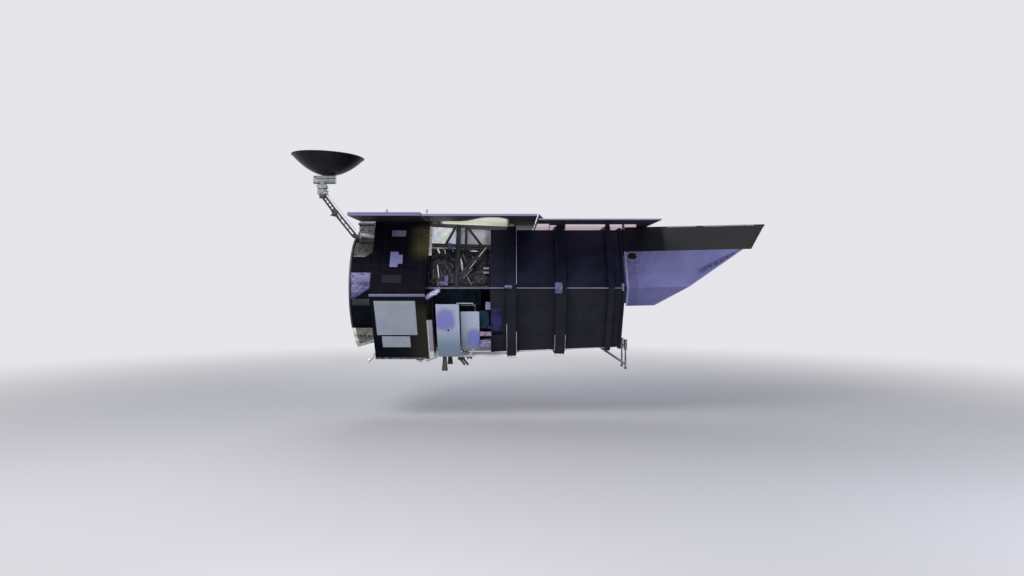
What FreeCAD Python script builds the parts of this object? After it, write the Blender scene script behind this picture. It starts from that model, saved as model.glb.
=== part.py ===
import FreeCAD, Part
import math
import os

# Space telescope satellite, deployed. Millimetres. +X is the boresight, +Z the sun side, +Y port.
# The origin is the centre of the aft face of the separation ring.

Vector = FreeCAD.Vector
ahead = Vector(1, 0, 0)
to_port = Vector(0, 1, 0)
sunward = Vector(0, 0, 1)
os.makedirs("parts", exist_ok=True)

# Fits and cutting
overrun = 40.0
running_gap = 0.6
seat_gap = 0.3

# Separation ring and aft skirt
ring_outer_radius = 1505.0
ring_inner_radius = 1310.0
ring_depth = 45.0
ring_bolt_circle_radius = 1395.0
ring_bolt_hole_radius = 6.5
ring_bolt_count = 24
skirt_radius = 1480.0
skirt_wall = 24.0
skirt_length = 650.0
aft_deck_place = 300.0
aft_deck_thickness = 30.0
aft_cover_radius = 520.0
aft_cover_rise = 60.0
aft_cover_edge = 90.0

# Foil-wrapped housing on top of the skirt, and the duct along each of its shoulders
housing_rear = 150.0
housing_half = 800.0
housing_top = 1800.0
housing_shoulder = 100.0
housing_shoulder_drop = 140.0
housing_duct_radius = 36.0
housing_duct_place = 775.0
housing_duct_drop = 55.0
housing_duct_rear = 125.0
housing_duct_length = 420.0

# Bus: a six-sided prism, wider than the barrel
bus_length = 1430.0
bus_top = 1827.0
bus_bottom = 1900.0
bus_flat_half = 1085.0
bus_half_width = 2170.0
bus_waist_drop = 190.0
edge_strip_height = 70.0
edge_strip_proud = 14.0
keel_strip_half = 30.0
plate_thickness = 12.0

# White and grey plates on the bus sides: start along X, length, start down the facet, height
small_plate_start = 470.0
small_plate_length = 372.0
small_plate_down = 337.0
small_plate_height = 182.0
tall_plate_start = 472.0
tall_plate_length = 209.0
tall_plate_down = 1001.0
tall_plate_height = 454.0
step_plate_length = 118.0
step_plate_down = 1092.0
step_plate_height = 267.0
grey_plate_start = 297.0
grey_plate_length = 502.0
grey_plate_down = 1693.0
grey_plate_height = 235.0
large_radiator_start = 110.0
large_radiator_length = 1060.0
large_radiator_down = 169.0
large_radiator_height = 1065.0
low_radiator_start = 228.0
low_radiator_length = 740.0
low_radiator_down = 1286.0
low_radiator_height = 347.0

# Thruster modules on the skirt and the bus corners
thruster_box_width = 520.0
thruster_box_bottom = 1600.0
thruster_box_top = 1070.0
thruster_box_place = 880.0
thruster_box_start = 20.0
thruster_box_chamfer = 180.0
thruster_box_slant = 126.0
thruster_box_floor_rise = 150.0
side_nozzle_start = 150.0
side_nozzle_pitch = 115.0
side_nozzle_count = 4
side_nozzle_drop = 1285.0
side_nozzle_length = 60.0
side_nozzle_throat_radius = 20.0
side_nozzle_mouth_radius = 42.0
side_nozzle_wall = 6.0
nozzle_length = 210.0
nozzle_throat_radius = 22.0
nozzle_mouth_radius = 45.0
nozzle_pitch = 110.0
nozzle_place = 960.0
nozzle_cant_deg = 40.0
corner_block = 130.0

# Low-gain masts on top of the bus
mast_height = 400.0
mast_radius = 20.0
mast_tip_radius = 42.0
mast_tip_height = 60.0
rear_mast_place = 120.0
front_mast_place = 1250.0

# Instrument bay between the bus and the barrel
bay_length = 1660.0
carrier_half_width = 1300.0
carrier_thickness = 60.0
upper_instrument_length = 1600.0
upper_instrument_height = 1030.0
upper_instrument_top_half = 1000.0
upper_instrument_base_half = 1300.0
upper_instrument_shoulder = 270.0
cooler_length = 720.0
cooler_height = 430.0
cooler_half_width = 800.0
cooler_top_half = 640.0
bench_start = 820.0
bench_height = 400.0
bench_half_width = 800.0
lower_instrument_start = 120.0
lower_instrument_length = 1280.0
lower_instrument_depth = 1500.0
lower_instrument_top_half = 1290.0
lower_instrument_shoulder = 420.0
lower_instrument_base_half = 640.0
lower_core_half = 500.0
lower_core_depth = 1470.0
coolant_tube_radius = 45.0
coolant_tube_place = 620.0
coolant_tube_drop = 1080.0
coolant_tube_pitch = 170.0
coolant_tube_count = 3
junction_box_length = 130.0
junction_box_height = 200.0
junction_box_width = 90.0
junction_box_drop = 370.0
junction_box_place = 1480.0
foot_pipe_radius = 28.0
foot_pipe_bend = 60.0
foot_pipe_start = 720.0
foot_pipe_length = 350.0
foot_pipe_reach = 75.0
foot_pipe_drop = 1830.0
foot_pipe_rise = 25.0
foot_pipe_bow_share = 0.2

# Instrument radiators beside the bay
radiator_a_start = 255.0
radiator_a_length = 605.0
radiator_a_top_place = 1950.0
radiator_a_top_drop = 420.0
radiator_a_foot_place = 1200.0
radiator_a_foot_drop = 1800.0
radiator_b_start = 885.0
radiator_b_length = 485.0
radiator_b_top_place = 1650.0
radiator_b_top_drop = 616.0
radiator_b_foot_place = 1150.0
radiator_b_foot_drop = 1623.0
radiator_thickness = 26.0
radiator_hole_radius = 26.0
radiator_link_radius = 24.0
radiator_link_shares = ((0.25, 0.3), (0.75, 0.3), (0.25, 0.75), (0.75, 0.75))
heat_pipe_radius = 18.0
heat_pipe_drop = 450.0
heat_pipe_length = 400.0

# Barrel: a hollow six-sided tube, a little deeper below at its rear
barrel_sides = 6
barrel_length = 3510.0
barrel_top = 1571.0
barrel_rear_bottom = 1730.0
barrel_front_bottom = 1585.0
barrel_wall = 40.0
bulkhead_thickness = 40.0
band_proud = 95.0
rear_band_start = 440.0
rear_band_width = 240.0
rear_band_bottom = 1856.0
middle_band_start = 1725.0
middle_band_width = 260.0
middle_band_bottom = 1790.0
front_band_start = 3080.0
front_band_width = 140.0
front_band_bottom = 1690.0
mouth_ring_width = 45.0
mouth_ring_proud = 60.0
mouth_ring_bottom = 1650.0
top_rail_width = 80.0
top_rail_place = 890.0
top_rail_rear_rise = 89.0
bottom_rail_width = 90.0
bottom_rail_place = 930.0
side_rail_height = 28.0
side_rail_depth = 52.0
band_shoe_length = 110.0
band_shoe_height = 156.0
band_shoe_toe = 56.0
band_shoe_half = 70.0
band_shoe_place = 930.0
middle_shoe_share = 0.6

# Telescope inside the barrel
mirror_radius = 1200.0
mirror_edge = 150.0
mirror_hole_radius = 310.0
mirror_focal_length = 2900.0
mirror_place = 420.0
mirror_cell_radius = 1330.0
mirror_cell_wall = 60.0
mirror_cell_depth = 520.0
centre_baffle_radius = 300.0
centre_baffle_mouth_radius = 230.0
centre_baffle_length = 900.0
centre_baffle_wall = 14.0
secondary_place = 2750.0
secondary_ring_radius = 330.0
secondary_ring_wall = 30.0
secondary_ring_depth = 160.0
secondary_mirror_radius = 265.0
secondary_mirror_thickness = 80.0
secondary_strut_radius = 28.0
secondary_strut_spread_deg = 14.0
secondary_strut_pairs = 3
secondary_strut_tip_share = 0.75

# Instrument bay truss
truss_post_radius = 62.0
truss_beam_radius = 52.0
truss_rod_radius = 34.0
corner_strut_radius = 48.0
corner_strut_reach = 360.0
corner_strut_drop = 250.0
corner_strut_place = 2000.0
bay_frame_length = 140.0
bay_frame_thickness = 30.0
bay_frame_inset = 60.0
bay_frame_down = 760.0
bay_frame_height = 1195.0
keel_rod_radius = 22.0
keel_rod_offset = 27.0
keel_rod_start = 210.0
keel_rod_length = 300.0
keel_rod_sink = 10.0
keel_rod_fall = 119.0
keel_box_start = 60.0
keel_box_length = 180.0
keel_box_width = 60.0
keel_box_height = 100.0

# Solar array sun shield: two rows of three panels
array_half_span = 3000.0
array_centre_half = 1000.0
array_hinge_gap = 40.0
rear_row_start = 20.0
rear_row_length = 2830.0
rear_row_thickness = 50.0
rear_row_rise = 99.0
row_gap = 40.0
front_row_length = 3005.0
front_row_thickness = 32.0
array_hinge_shares = (0.12, 0.5, 0.88)
array_hinge_radius = 14.0
array_pin_radius = 6.0
array_lug_width = 24.0
array_knuckle_width = 70.0
standoff_width = 120.0
standoff_place = 560.0
link_bracket_width = 90.0
link_bracket_thickness = 14.0
step_strip_start = 5.0
step_strip_length = 130.0
step_strip_width = 12.0

# Instrument shade flaps on the bus
flap_start = -370.0
flap_length = 1780.0
flap_thickness = 85.0
flap_drop = 57.0
flap_hinge_place = 1160.0
flap_hinge_shares = (0.29, 0.86)
flap_hinge_radius = 22.0
flap_pin_radius = 9.0
flap_hinge_gap = 60.0
flap_foot_length = 190.0
flap_foot_thickness = 12.0

# High-gain antenna, its boom and its gimbal
antenna_place = -1050.0
boom_root_x = 75.0
boom_ring_clearance = 245.0
boom_elbow_x = -460.0
boom_elbow_rise = 660.0
boom_top_x = -785.0
boom_top_rise = 440.0
boom_tube_radius = 26.0
boom_tube_spread = 46.0
boom_rung_radius = 14.0
boom_rung_shares = (0.3, 0.5, 0.7)
boom_knuckle_radius = 64.0
boom_knuckle_half = 60.0
boom_elbow_radius = 84.0
boom_lug_width = 24.0
boom_pin_radius = 20.0
boom_fin_half = 18.0
boom_fin_shares = (1.6, 1.3)
boom_fin_foot_share = 0.25
bracket_tube_radius = 62.0
bracket_tube_end_x = 190.0
bracket_tube_end_rise = 40.0
bracket_tube_root_drop = 28.0
bracket_block_length = 60.0
bracket_block_half = 96.0
azimuth_base_radius = 95.0
azimuth_base_height = 155.0
azimuth_column_radius = 82.0
elevation_axis_rise = 235.0
elevation_housing_radius = 90.0
elevation_housing_rear = 215.0
elevation_housing_front = 325.0
elevation_plate_thickness = 26.0
bridge_thickness = 20.0
bridge_clearance = 20.0
bridge_half_width = 68.0
dish_radius = 950.0
dish_depth = 505.0
dish_wall = 14.0
dish_tilt_deg = 2.5
dish_offset = 120.0
dish_rim_radius = 16.0
feed_length = 400.0
feed_radius = 55.0
feed_neck_radius = 33.0
feed_neck_share = 0.7
feed_mouth_radius = 95.0
harness_radius = 11.0
harness_bend_radius = 60.0
harness_exit_share = 0.7
harness_bow_shares = (1.7, 0.4)
harness_above_elbow_shares = (1.1, 1.2)
harness_below_elbow_shares = (2.1, 0.2)
harness_root_shares = (0.4, 2.6)

# Aperture cover at the barrel mouth
cover_hinge_reach = 80.0
cover_hinge_height = 1605.0
cover_length = 3820.0
cover_top_half = 950.0
cover_sheet = 10.0
cover_boom_radius = 25.0
cover_boom_place = 905.0
cover_spreader_radius = 20.0
cover_spreader_shares = (0.34, 0.67, 1.0)
cover_panel_drop = 675.0
cover_slope_deg = 1.3
cover_panel_front = 3420.0
cover_vertex_place = 1900.0
cover_skirt_low = 470.0
cover_skirt_low_place = 1640.0
cover_skirt_front = 890.0
cover_skirt_waist = 1650.0
cover_rear_gap = 12.0
cover_lug_width = 26.0
cover_pin_radius = 12.0
cover_lug_radius = 34.0
cover_lug_clearance = 8.0
cover_eye_half = 30.0

# Outrigger below the barrel mouth
outrigger_place = 360.0
outrigger_strut_radius = 30.0
outrigger_root_back = 580.0
outrigger_tip_drop = 2115.0
outrigger_post_reach = 215.0
outrigger_post_radius = 24.0
outrigger_post_top = 1430.0
outrigger_post_bottom = 2215.0
outrigger_sleeve_radius = 48.0
outrigger_sleeve_length = 290.0
outrigger_ball_radius = 44.0

# Sensors below the bay
tracker_place = 410.0
tracker_neck_radius = 55.0
tracker_mouth_radius = 85.0
tracker_neck_length = 110.0
tracker_length = 380.0
sensor_place = 860.0
sensor_radius = 30.0
sensor_length = 230.0
sensor_pitch = 90.0
sensor_cant_deg = 38.0
sensor_bracket_height = 90.0

# Places along the boresight, worked out from the lengths above
bus_rear = skirt_length
bus_front = bus_rear + bus_length
barrel_rear = bus_front + bay_length
barrel_front = barrel_rear + barrel_length
side_lean = math.cos(math.pi / barrel_sides)
barrel_half_width = barrel_top / side_lean
band_top = barrel_top + band_proud
front_row_under = band_top
rear_row_under = band_top + rear_row_rise
rear_row_rear = bus_front + rear_row_start
rear_row_front = rear_row_rear + rear_row_length
front_row_rear = rear_row_front + row_gap
front_row_front = front_row_rear + front_row_length
top_rail_end = barrel_rear + rear_band_start
boom_root_z = math.sqrt((ring_outer_radius + boom_ring_clearance) ** 2 - antenna_place ** 2)
boom_elbow_z = boom_root_z + boom_elbow_rise
boom_top_z = boom_elbow_z + boom_top_rise
bracket_tube_end_z = boom_root_z + bracket_tube_end_rise
bracket_tube_root_z = boom_root_z - bracket_tube_root_drop
elevation_axis_height = boom_top_z + azimuth_base_height + elevation_axis_rise
cover_top_height = cover_hinge_height + cover_boom_radius + seat_gap + cover_sheet
yoke_top = elevation_axis_height + elevation_housing_radius + bridge_clearance + bridge_thickness


def save(name, solids):
    shape = solids[0] if len(solids) == 1 else Part.makeCompound(solids)
    shape.exportStep(os.path.join("parts", name + ".step"))


def fused(solids):
    return solids[0].multiFuse(solids[1:]).removeSplitter()


def solid_list(shape):
    return list(shape.Solids)


def block(x0, x1, y0, y1, z0, z1):
    return Part.makeBox(x1 - x0, y1 - y0, z1 - z0, Vector(x0, y0, z0))


def side_block(side, x0, x1, y0, y1, z0, z1):
    low, high = sorted((side * y0, side * y1))
    return block(x0, x1, low, high, z0, z1)


def prism(outline, x0, x1):
    points = [Vector(x0, y, z) for y, z in outline]
    face = Part.Face(Part.makePolygon(points + [points[0]]))
    return face.extrude(Vector(x1 - x0, 0, 0))


def side_prism(side, outline, x0, x1):
    return prism([(side * y, z) for y, z in outline], x0, x1)


def profile(outline, y0, y1):
    points = [Vector(x, y0, z) for x, z in outline]
    face = Part.Face(Part.makePolygon(points + [points[0]]))
    return face.extrude(Vector(0, y1 - y0, 0))


def side_profile(side, outline, y0, y1):
    low, high = sorted((side * y0, side * y1))
    return profile(outline, low, high)


def rod(start, end, radius):
    return Part.makeCylinder(radius, (end - start).Length, start, end - start)


def cone(start, end, radius_start, radius_end):
    return Part.makeCone(radius_start, radius_end, (end - start).Length, start, end - start)


def hex_outline(top, half_width, bottom):
    flat = half_width / 2
    return [(flat, top), (half_width, 0), (flat, -bottom), (-flat, -bottom), (-half_width, 0), (-flat, top)]


def hex_wire(outline, x):
    points = [Vector(x, y, z) for y, z in outline]
    return Part.makePolygon(points + [points[0]])


def hex_loft(outline_rear, x_rear, outline_front, x_front):
    return Part.makeLoft([hex_wire(outline_rear, x_rear), hex_wire(outline_front, x_front)], True, True)


def facet_plate(side, upper, lower, down, height, x0, x1, thickness):
    run = math.hypot(lower[0] - upper[0], lower[1] - upper[1])
    along = ((lower[0] - upper[0]) / run, (lower[1] - upper[1]) / run)
    out = (-along[1], along[0])
    corners = [
        (upper[0] + along[0] * down, upper[1] + along[1] * down),
        (upper[0] + along[0] * (down + height), upper[1] + along[1] * (down + height)),
    ]
    raised = [(y + out[0] * thickness, z + out[1] * thickness) for y, z in reversed(corners)]
    return side_prism(side, corners + raised, x0, x1)


def tube_path(points, radius, section_radius):
    edges = []
    start = points[0]
    for before, corner, after in zip(points, points[1:], points[2:]):
        back = (before - corner).normalize()
        ahead = (after - corner).normalize()
        half_turn = (math.pi - back.getAngle(ahead)) / 2
        reach = radius * math.tan(half_turn)
        entry = corner + back * reach
        leave = corner + ahead * reach
        middle = corner + (back + ahead).normalize() * radius * (1 / math.cos(half_turn) - 1)
        edges.append(Part.LineSegment(start, entry).toShape())
        edges.append(Part.Arc(entry, middle, leave).toShape())
        start = leave
    edges.append(Part.LineSegment(start, points[-1]).toShape())
    path = Part.Wire(edges)
    section = Part.Wire(Part.makeCircle(section_radius, points[0], points[1] - points[0]))
    return path.makePipeShell([section], True, False)


# Separation ring
def separation_ring():
    ring = Part.makeCylinder(ring_outer_radius, ring_depth, Vector(0, 0, 0), ahead)
    bore = Part.makeCylinder(ring_inner_radius, ring_depth + 2 * overrun, Vector(-overrun, 0, 0), ahead)
    ring = ring.cut(bore)
    holes = []
    for index in range(ring_bolt_count):
        angle = 2 * math.pi * index / ring_bolt_count
        y = ring_bolt_circle_radius * math.cos(angle)
        z = ring_bolt_circle_radius * math.sin(angle)
        length = ring_depth + 2 * overrun
        holes.append(Part.makeCylinder(ring_bolt_hole_radius, length, Vector(-overrun, y, z), ahead))
    return ring.cut(Part.makeCompound(holes))


def aft_skirt():
    shell = Part.makeCylinder(skirt_radius, skirt_length - ring_depth, Vector(ring_depth, 0, 0), ahead)
    bore_length = skirt_length + 2 * overrun
    bore = Part.makeCylinder(skirt_radius - skirt_wall, bore_length, Vector(-overrun, 0, 0), ahead)
    return shell.cut(bore)


def aft_deck():
    deck_radius = skirt_radius - skirt_wall
    deck = Part.makeCylinder(deck_radius, aft_deck_thickness, Vector(aft_deck_place, 0, 0), ahead)
    cover_rear = Vector(aft_deck_place - aft_cover_rise, 0, 0)
    cover_foot = Vector(aft_deck_place, 0, 0)
    cover = cone(cover_rear, cover_foot, aft_cover_radius - aft_cover_edge, aft_cover_radius)
    return fused([deck, cover])


def skirt_housing():
    outline = [
        (housing_half, 0),
        (housing_half, housing_top - housing_shoulder_drop),
        (housing_half - housing_shoulder, housing_top),
    ]
    outline += [(-y, z) for y, z in reversed(outline)]
    parts = [prism(outline, housing_rear, bus_rear)]
    for side in (-1, 1):
        rear = Vector(housing_duct_rear, side * housing_duct_place, housing_top - housing_duct_drop)
        parts.append(rod(rear, rear + ahead * housing_duct_length, housing_duct_radius))
    skirt = Part.makeCylinder(skirt_radius, skirt_length, Vector(0, 0, 0), ahead)
    return fused(parts).cut(skirt)


# Bus
def bus_outline(grow):
    return [
        (bus_flat_half + grow / 2, bus_top + grow),
        (bus_half_width + grow, -bus_waist_drop),
        (bus_flat_half + grow / 2, -bus_bottom - grow),
        (-bus_flat_half - grow / 2, -bus_bottom - grow),
        (-bus_half_width - grow, -bus_waist_drop),
        (-bus_flat_half - grow / 2, bus_top + grow),
    ]


def bus_core():
    return prism(bus_outline(0), bus_rear, bus_front)


def bus_edge_strips():
    sleeve = prism(bus_outline(edge_strip_proud), bus_rear, bus_front).cut(bus_core())
    strips = []
    for side in (-1, 1):
        low = -bus_waist_drop - edge_strip_height / 2
        high = -bus_waist_drop + edge_strip_height / 2
        zone = side_block(side, bus_rear, bus_front, bus_flat_half, 2 * bus_half_width, low, high)
        strips += solid_list(sleeve.common(zone))
        near = bus_flat_half - keel_strip_half
        far = bus_flat_half + keel_strip_half
        floor = -bus_bottom - 2 * edge_strip_proud
        keel_zone = side_block(side, bus_rear, bus_front, near, far, floor, -bus_bottom + keel_strip_half)
        strips += solid_list(sleeve.common(keel_zone))
    return strips


bus_shoulder = (bus_flat_half, bus_top)
bus_waist = (bus_half_width, -bus_waist_drop)
bus_keel = (bus_flat_half, -bus_bottom)


def bus_plate(side, upper, lower, start, length, down, height):
    x0 = bus_rear + start
    return facet_plate(side, upper, lower, down, height, x0, x0 + length, plate_thickness)


def bus_side_plates():
    small_sizes = (small_plate_start, small_plate_length, small_plate_down, small_plate_height)
    tall_sizes = (tall_plate_start, tall_plate_length, tall_plate_down, tall_plate_height)
    step_start = tall_plate_start + tall_plate_length
    step_sizes = (step_start, step_plate_length, step_plate_down, step_plate_height)
    grey_sizes = (grey_plate_start, grey_plate_length, grey_plate_down, grey_plate_height)
    plates = []
    for side in (-1, 1):
        facet = (side, bus_shoulder, bus_waist)
        plates.append(bus_plate(*facet, *small_sizes))
        plates.append(fused([bus_plate(*facet, *tall_sizes), bus_plate(*facet, *step_sizes)]))
        plates.append(bus_plate(*facet, *grey_sizes))
    return plates


def bus_radiators():
    large_sizes = (large_radiator_start, large_radiator_length, large_radiator_down, large_radiator_height)
    low_sizes = (low_radiator_start, low_radiator_length, low_radiator_down, low_radiator_height)
    plates = []
    for side in (-1, 1):
        facet = (side, bus_waist, bus_keel)
        plates.append(bus_plate(*facet, *large_sizes))
        plates.append(bus_plate(*facet, *low_sizes))
    return plates


# Thruster modules
def side_nozzle(side, face, index):
    x = side_nozzle_start + side_nozzle_pitch * index
    root = Vector(x, side * face, -side_nozzle_drop)
    mouth = root + to_port * side * side_nozzle_length
    wall = side_nozzle_wall
    shell = cone(root, mouth, side_nozzle_throat_radius, side_nozzle_mouth_radius)
    throat = root + to_port * side * wall
    bore = cone(throat, mouth, side_nozzle_throat_radius - wall, side_nozzle_mouth_radius - wall)
    return shell.cut(bore)


def thruster_boxes():
    skirt = Part.makeCylinder(skirt_radius, skirt_length, Vector(0, 0, 0), ahead)
    ring = Part.makeCylinder(ring_outer_radius + seat_gap, ring_depth + seat_gap, Vector(0, 0, 0), ahead)
    boxes = []
    for side in (-1, 1):
        inner = thruster_box_place - thruster_box_width / 2
        outer = thruster_box_place + thruster_box_width / 2
        outline = [
            (inner, -thruster_box_top),
            (outer, -thruster_box_top),
            (outer, -thruster_box_bottom + thruster_box_chamfer),
            (outer - thruster_box_chamfer, -thruster_box_bottom),
            (inner, -thruster_box_bottom),
        ]
        flanks = [
            (thruster_box_start, -thruster_box_top),
            (thruster_box_start + thruster_box_slant, -thruster_box_bottom),
            (bus_rear, -thruster_box_bottom + thruster_box_floor_rise),
            (bus_rear, -thruster_box_top),
        ]
        box = side_prism(side, outline, thruster_box_start, bus_rear)
        box = box.common(side_profile(side, flanks, inner - overrun, outer + overrun))
        parts = [box.cut(skirt).cut(ring)]
        parts += [side_nozzle(side, outer, index) for index in range(side_nozzle_count)]
        boxes.append(fused(parts))
    return boxes


def corner_thrusters():
    pieces = []
    cant = math.radians(nozzle_cant_deg)
    aim = Vector(-math.cos(cant), 0, -math.sin(cant))
    for side in (-1, 1):
        z_top = -bus_bottom + corner_block
        y0 = nozzle_place - nozzle_pitch
        y1 = nozzle_place + nozzle_pitch
        body = side_block(side, bus_rear - corner_block / 2, bus_rear, y0, y1, -bus_bottom, z_top)
        parts = [body]
        for offset in (-nozzle_pitch / 2, nozzle_pitch / 2):
            y = side * (nozzle_place + offset)
            start = Vector(bus_rear - corner_block / 2, y, -bus_bottom + corner_block / 2)
            parts.append(cone(start, start + aim * nozzle_length, nozzle_throat_radius, nozzle_mouth_radius))
        pieces.append(fused(parts))
    return pieces


# Low-gain masts
def low_gain_masts():
    masts = []
    for place in (rear_mast_place, front_mast_place):
        foot = Vector(bus_rear + place, 0, bus_top)
        neck = foot + Vector(0, 0, mast_height - mast_tip_height)
        mast = rod(foot, neck, mast_radius)
        tip = cone(neck, foot + Vector(0, 0, mast_height), mast_tip_radius, mast_radius)
        masts.append(fused([mast, tip]))
    return masts


# Instrument bay
def instrument_carrier():
    half = carrier_thickness / 2
    return block(bus_front, barrel_rear, -carrier_half_width, carrier_half_width, -half, half)


def upper_instrument():
    floor = carrier_thickness / 2
    outline = [
        (upper_instrument_base_half, floor),
        (upper_instrument_base_half, floor + upper_instrument_shoulder),
        (upper_instrument_top_half, floor + upper_instrument_height),
    ]
    outline += [(-y, z) for y, z in reversed(outline)]
    return prism(outline, bus_front, bus_front + upper_instrument_length)


def instrument_cooler():
    floor = carrier_thickness / 2 + upper_instrument_height
    outline = [(cooler_half_width, floor), (cooler_top_half, floor + cooler_height)]
    outline += [(-y, z) for y, z in reversed(outline)]
    return prism(outline, bus_front, bus_front + cooler_length)


def optical_bench():
    floor = carrier_thickness / 2 + upper_instrument_height
    x0 = bus_front + bench_start
    return block(x0, barrel_rear, -bench_half_width, bench_half_width, floor, floor + bench_height)


def lower_instrument():
    roof = -carrier_thickness / 2
    outline = [
        (lower_instrument_top_half, roof),
        (lower_instrument_top_half, roof - lower_instrument_shoulder),
        (lower_instrument_base_half, roof - lower_instrument_depth),
    ]
    outline += [(-y, z) for y, z in reversed(outline)]
    start = bus_front + lower_instrument_start
    end = start + lower_instrument_length
    floor = roof - lower_core_depth
    core = block(end, barrel_rear, -lower_core_half, lower_core_half, floor, roof)
    return fused([prism(outline, start, end), core])


def coolant_tubes():
    tubes = []
    start = bus_front + lower_instrument_start + lower_instrument_length
    for side in (-1, 1):
        for index in range(coolant_tube_count):
            z = -coolant_tube_drop - index * coolant_tube_pitch
            y = side * coolant_tube_place
            tubes.append(rod(Vector(start, y, z), Vector(barrel_rear, y, z), coolant_tube_radius))
    return tubes


def junction_boxes():
    boxes = []
    for side in (-1, 1):
        y0 = junction_box_place - junction_box_width
        z1 = -junction_box_drop
        x0 = barrel_rear - junction_box_length
        boxes.append(side_block(side, x0, barrel_rear, y0, junction_box_place, z1 - junction_box_height, z1))
    return boxes


def foot_pipe(side):
    rail_face = bottom_rail_place + bottom_rail_width / 2
    x0 = bus_front + foot_pipe_start
    x1 = x0 + foot_pipe_length
    out = rail_face + foot_pipe_reach
    bow = foot_pipe_length * foot_pipe_bow_share
    points = [
        Vector(x0, side * rail_face, -foot_pipe_drop + foot_pipe_rise),
        Vector(x0 + bow, side * out, -foot_pipe_drop),
        Vector(x1, side * out, -foot_pipe_drop),
        Vector(x1 + 2 * bow, side * radiator_b_foot_place, -radiator_b_foot_drop),
    ]
    pipe = tube_path(points, foot_pipe_bend, foot_pipe_radius)
    panel = instrument_radiators(side)[1]
    rails = Part.makeCompound(bottom_rails())
    return max(pipe.cut(panel).cut(rails).Solids, key=lambda piece: piece.Volume)


# Instrument radiators and their heat pipes
def radiator_panel(side, start, length, top, foot):
    x0 = bus_front + start
    run = math.hypot(top[0] - foot[0], top[1] - foot[1])
    return facet_plate(side, top, foot, 0, run, x0, x0 + length, radiator_thickness)


def radiator_links(side, start, length, top, foot):
    instrument = lower_instrument()
    links = []
    for along_share, down_share in radiator_link_shares:
        x = bus_front + start + length * along_share
        y = top[0] + (foot[0] - top[0]) * down_share
        z = top[1] + (foot[1] - top[1]) * down_share
        outer = Vector(x, side * y, z)
        link = rod(Vector(x, 0, z), outer, radiator_link_radius).cut(instrument)
        clear_side = lower_instrument_base_half / 2
        links += [piece for piece in link.Solids if side * piece.CenterOfMass.y > clear_side]
    return links


def instrument_radiators(side):
    a_top = (radiator_a_top_place, -radiator_a_top_drop)
    a_foot = (radiator_a_foot_place, -radiator_a_foot_drop)
    b_top = (radiator_b_top_place, -radiator_b_top_drop)
    b_foot = (radiator_b_foot_place, -radiator_b_foot_drop)
    a_panel = radiator_panel(side, radiator_a_start, radiator_a_length, a_top, a_foot)
    hole_x = bus_front + radiator_a_start + radiator_a_length / 2
    hole_z = -(radiator_a_top_drop + radiator_a_foot_drop) / 2
    far = side * 2 * radiator_a_top_place
    hole = rod(Vector(hole_x, 0, hole_z), Vector(hole_x, far, hole_z), radiator_hole_radius)
    a_links = radiator_links(side, radiator_a_start, radiator_a_length, a_top, a_foot)
    b_links = radiator_links(side, radiator_b_start, radiator_b_length, b_top, b_foot)
    b_panel = radiator_panel(side, radiator_b_start, radiator_b_length, b_top, b_foot)
    panel_a = fused([a_panel.cut(hole)] + a_links)
    pipe_x = bus_front + radiator_b_start
    pipe_y = side * radiator_b_top_place
    pipe = rod(
        Vector(pipe_x, pipe_y, -heat_pipe_drop),
        Vector(pipe_x + heat_pipe_length, pipe_y, -heat_pipe_drop),
        heat_pipe_radius,
    )
    drop_x = pipe_x + heat_pipe_length - heat_pipe_radius
    drop = rod(
        Vector(drop_x, pipe_y, -heat_pipe_drop),
        Vector(drop_x, pipe_y, -radiator_b_top_drop - 2 * radiator_thickness),
        heat_pipe_radius / 2,
    )
    return [panel_a, fused([b_panel, pipe, drop] + b_links)]


# Barrel
def barrel_floor(x):
    share = (x - barrel_rear) / barrel_length
    return barrel_rear_bottom + (barrel_front_bottom - barrel_rear_bottom) * share


def barrel_outline(x):
    return hex_outline(barrel_top, barrel_half_width, barrel_floor(x))


def bore_outline(x):
    top = barrel_top - barrel_wall
    return hex_outline(top, top / side_lean, barrel_floor(x) - barrel_wall)


def barrel_solid():
    return hex_loft(barrel_outline(barrel_rear), barrel_rear, barrel_outline(barrel_front), barrel_front)


def barrel_bore():
    rear = barrel_rear - overrun
    front = barrel_front + overrun
    return hex_loft(bore_outline(rear), rear, bore_outline(front), front)


def barrel_band(start, width, proud, bottom):
    top = barrel_top + proud
    outline = hex_outline(top, top / side_lean, bottom)
    return prism(outline, barrel_rear + start, barrel_rear + start + width)


def barrel_bands():
    return [
        barrel_band(rear_band_start, rear_band_width, band_proud, rear_band_bottom),
        barrel_band(middle_band_start, middle_band_width, band_proud, middle_band_bottom),
        barrel_band(front_band_start, front_band_width, band_proud, front_band_bottom),
        barrel_band(barrel_length - mouth_ring_width, mouth_ring_width, mouth_ring_proud, mouth_ring_bottom),
    ]


def barrel_panels():
    tube = fused([barrel_solid()] + barrel_bands()).cut(barrel_bore())
    corners = hex_outline(barrel_top, barrel_half_width, (barrel_rear_bottom + barrel_front_bottom) / 2)
    names = ("port_upper", "port_lower", "bottom", "starboard_lower", "starboard_upper", "top")
    panels = {}
    for index, name in enumerate(names):
        first = corners[index]
        second = corners[(index + 1) % len(corners)]
        outline = [(0, 0), (2 * first[0], 2 * first[1]), (2 * second[0], 2 * second[1])]
        wedge = prism(outline, barrel_rear - overrun, barrel_front + overrun)
        panels[name] = solid_list(tube.common(wedge))
    return panels


def barrel_bulkhead():
    front = barrel_rear + bulkhead_thickness
    return hex_loft(bore_outline(barrel_rear), barrel_rear, bore_outline(front), front)


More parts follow.
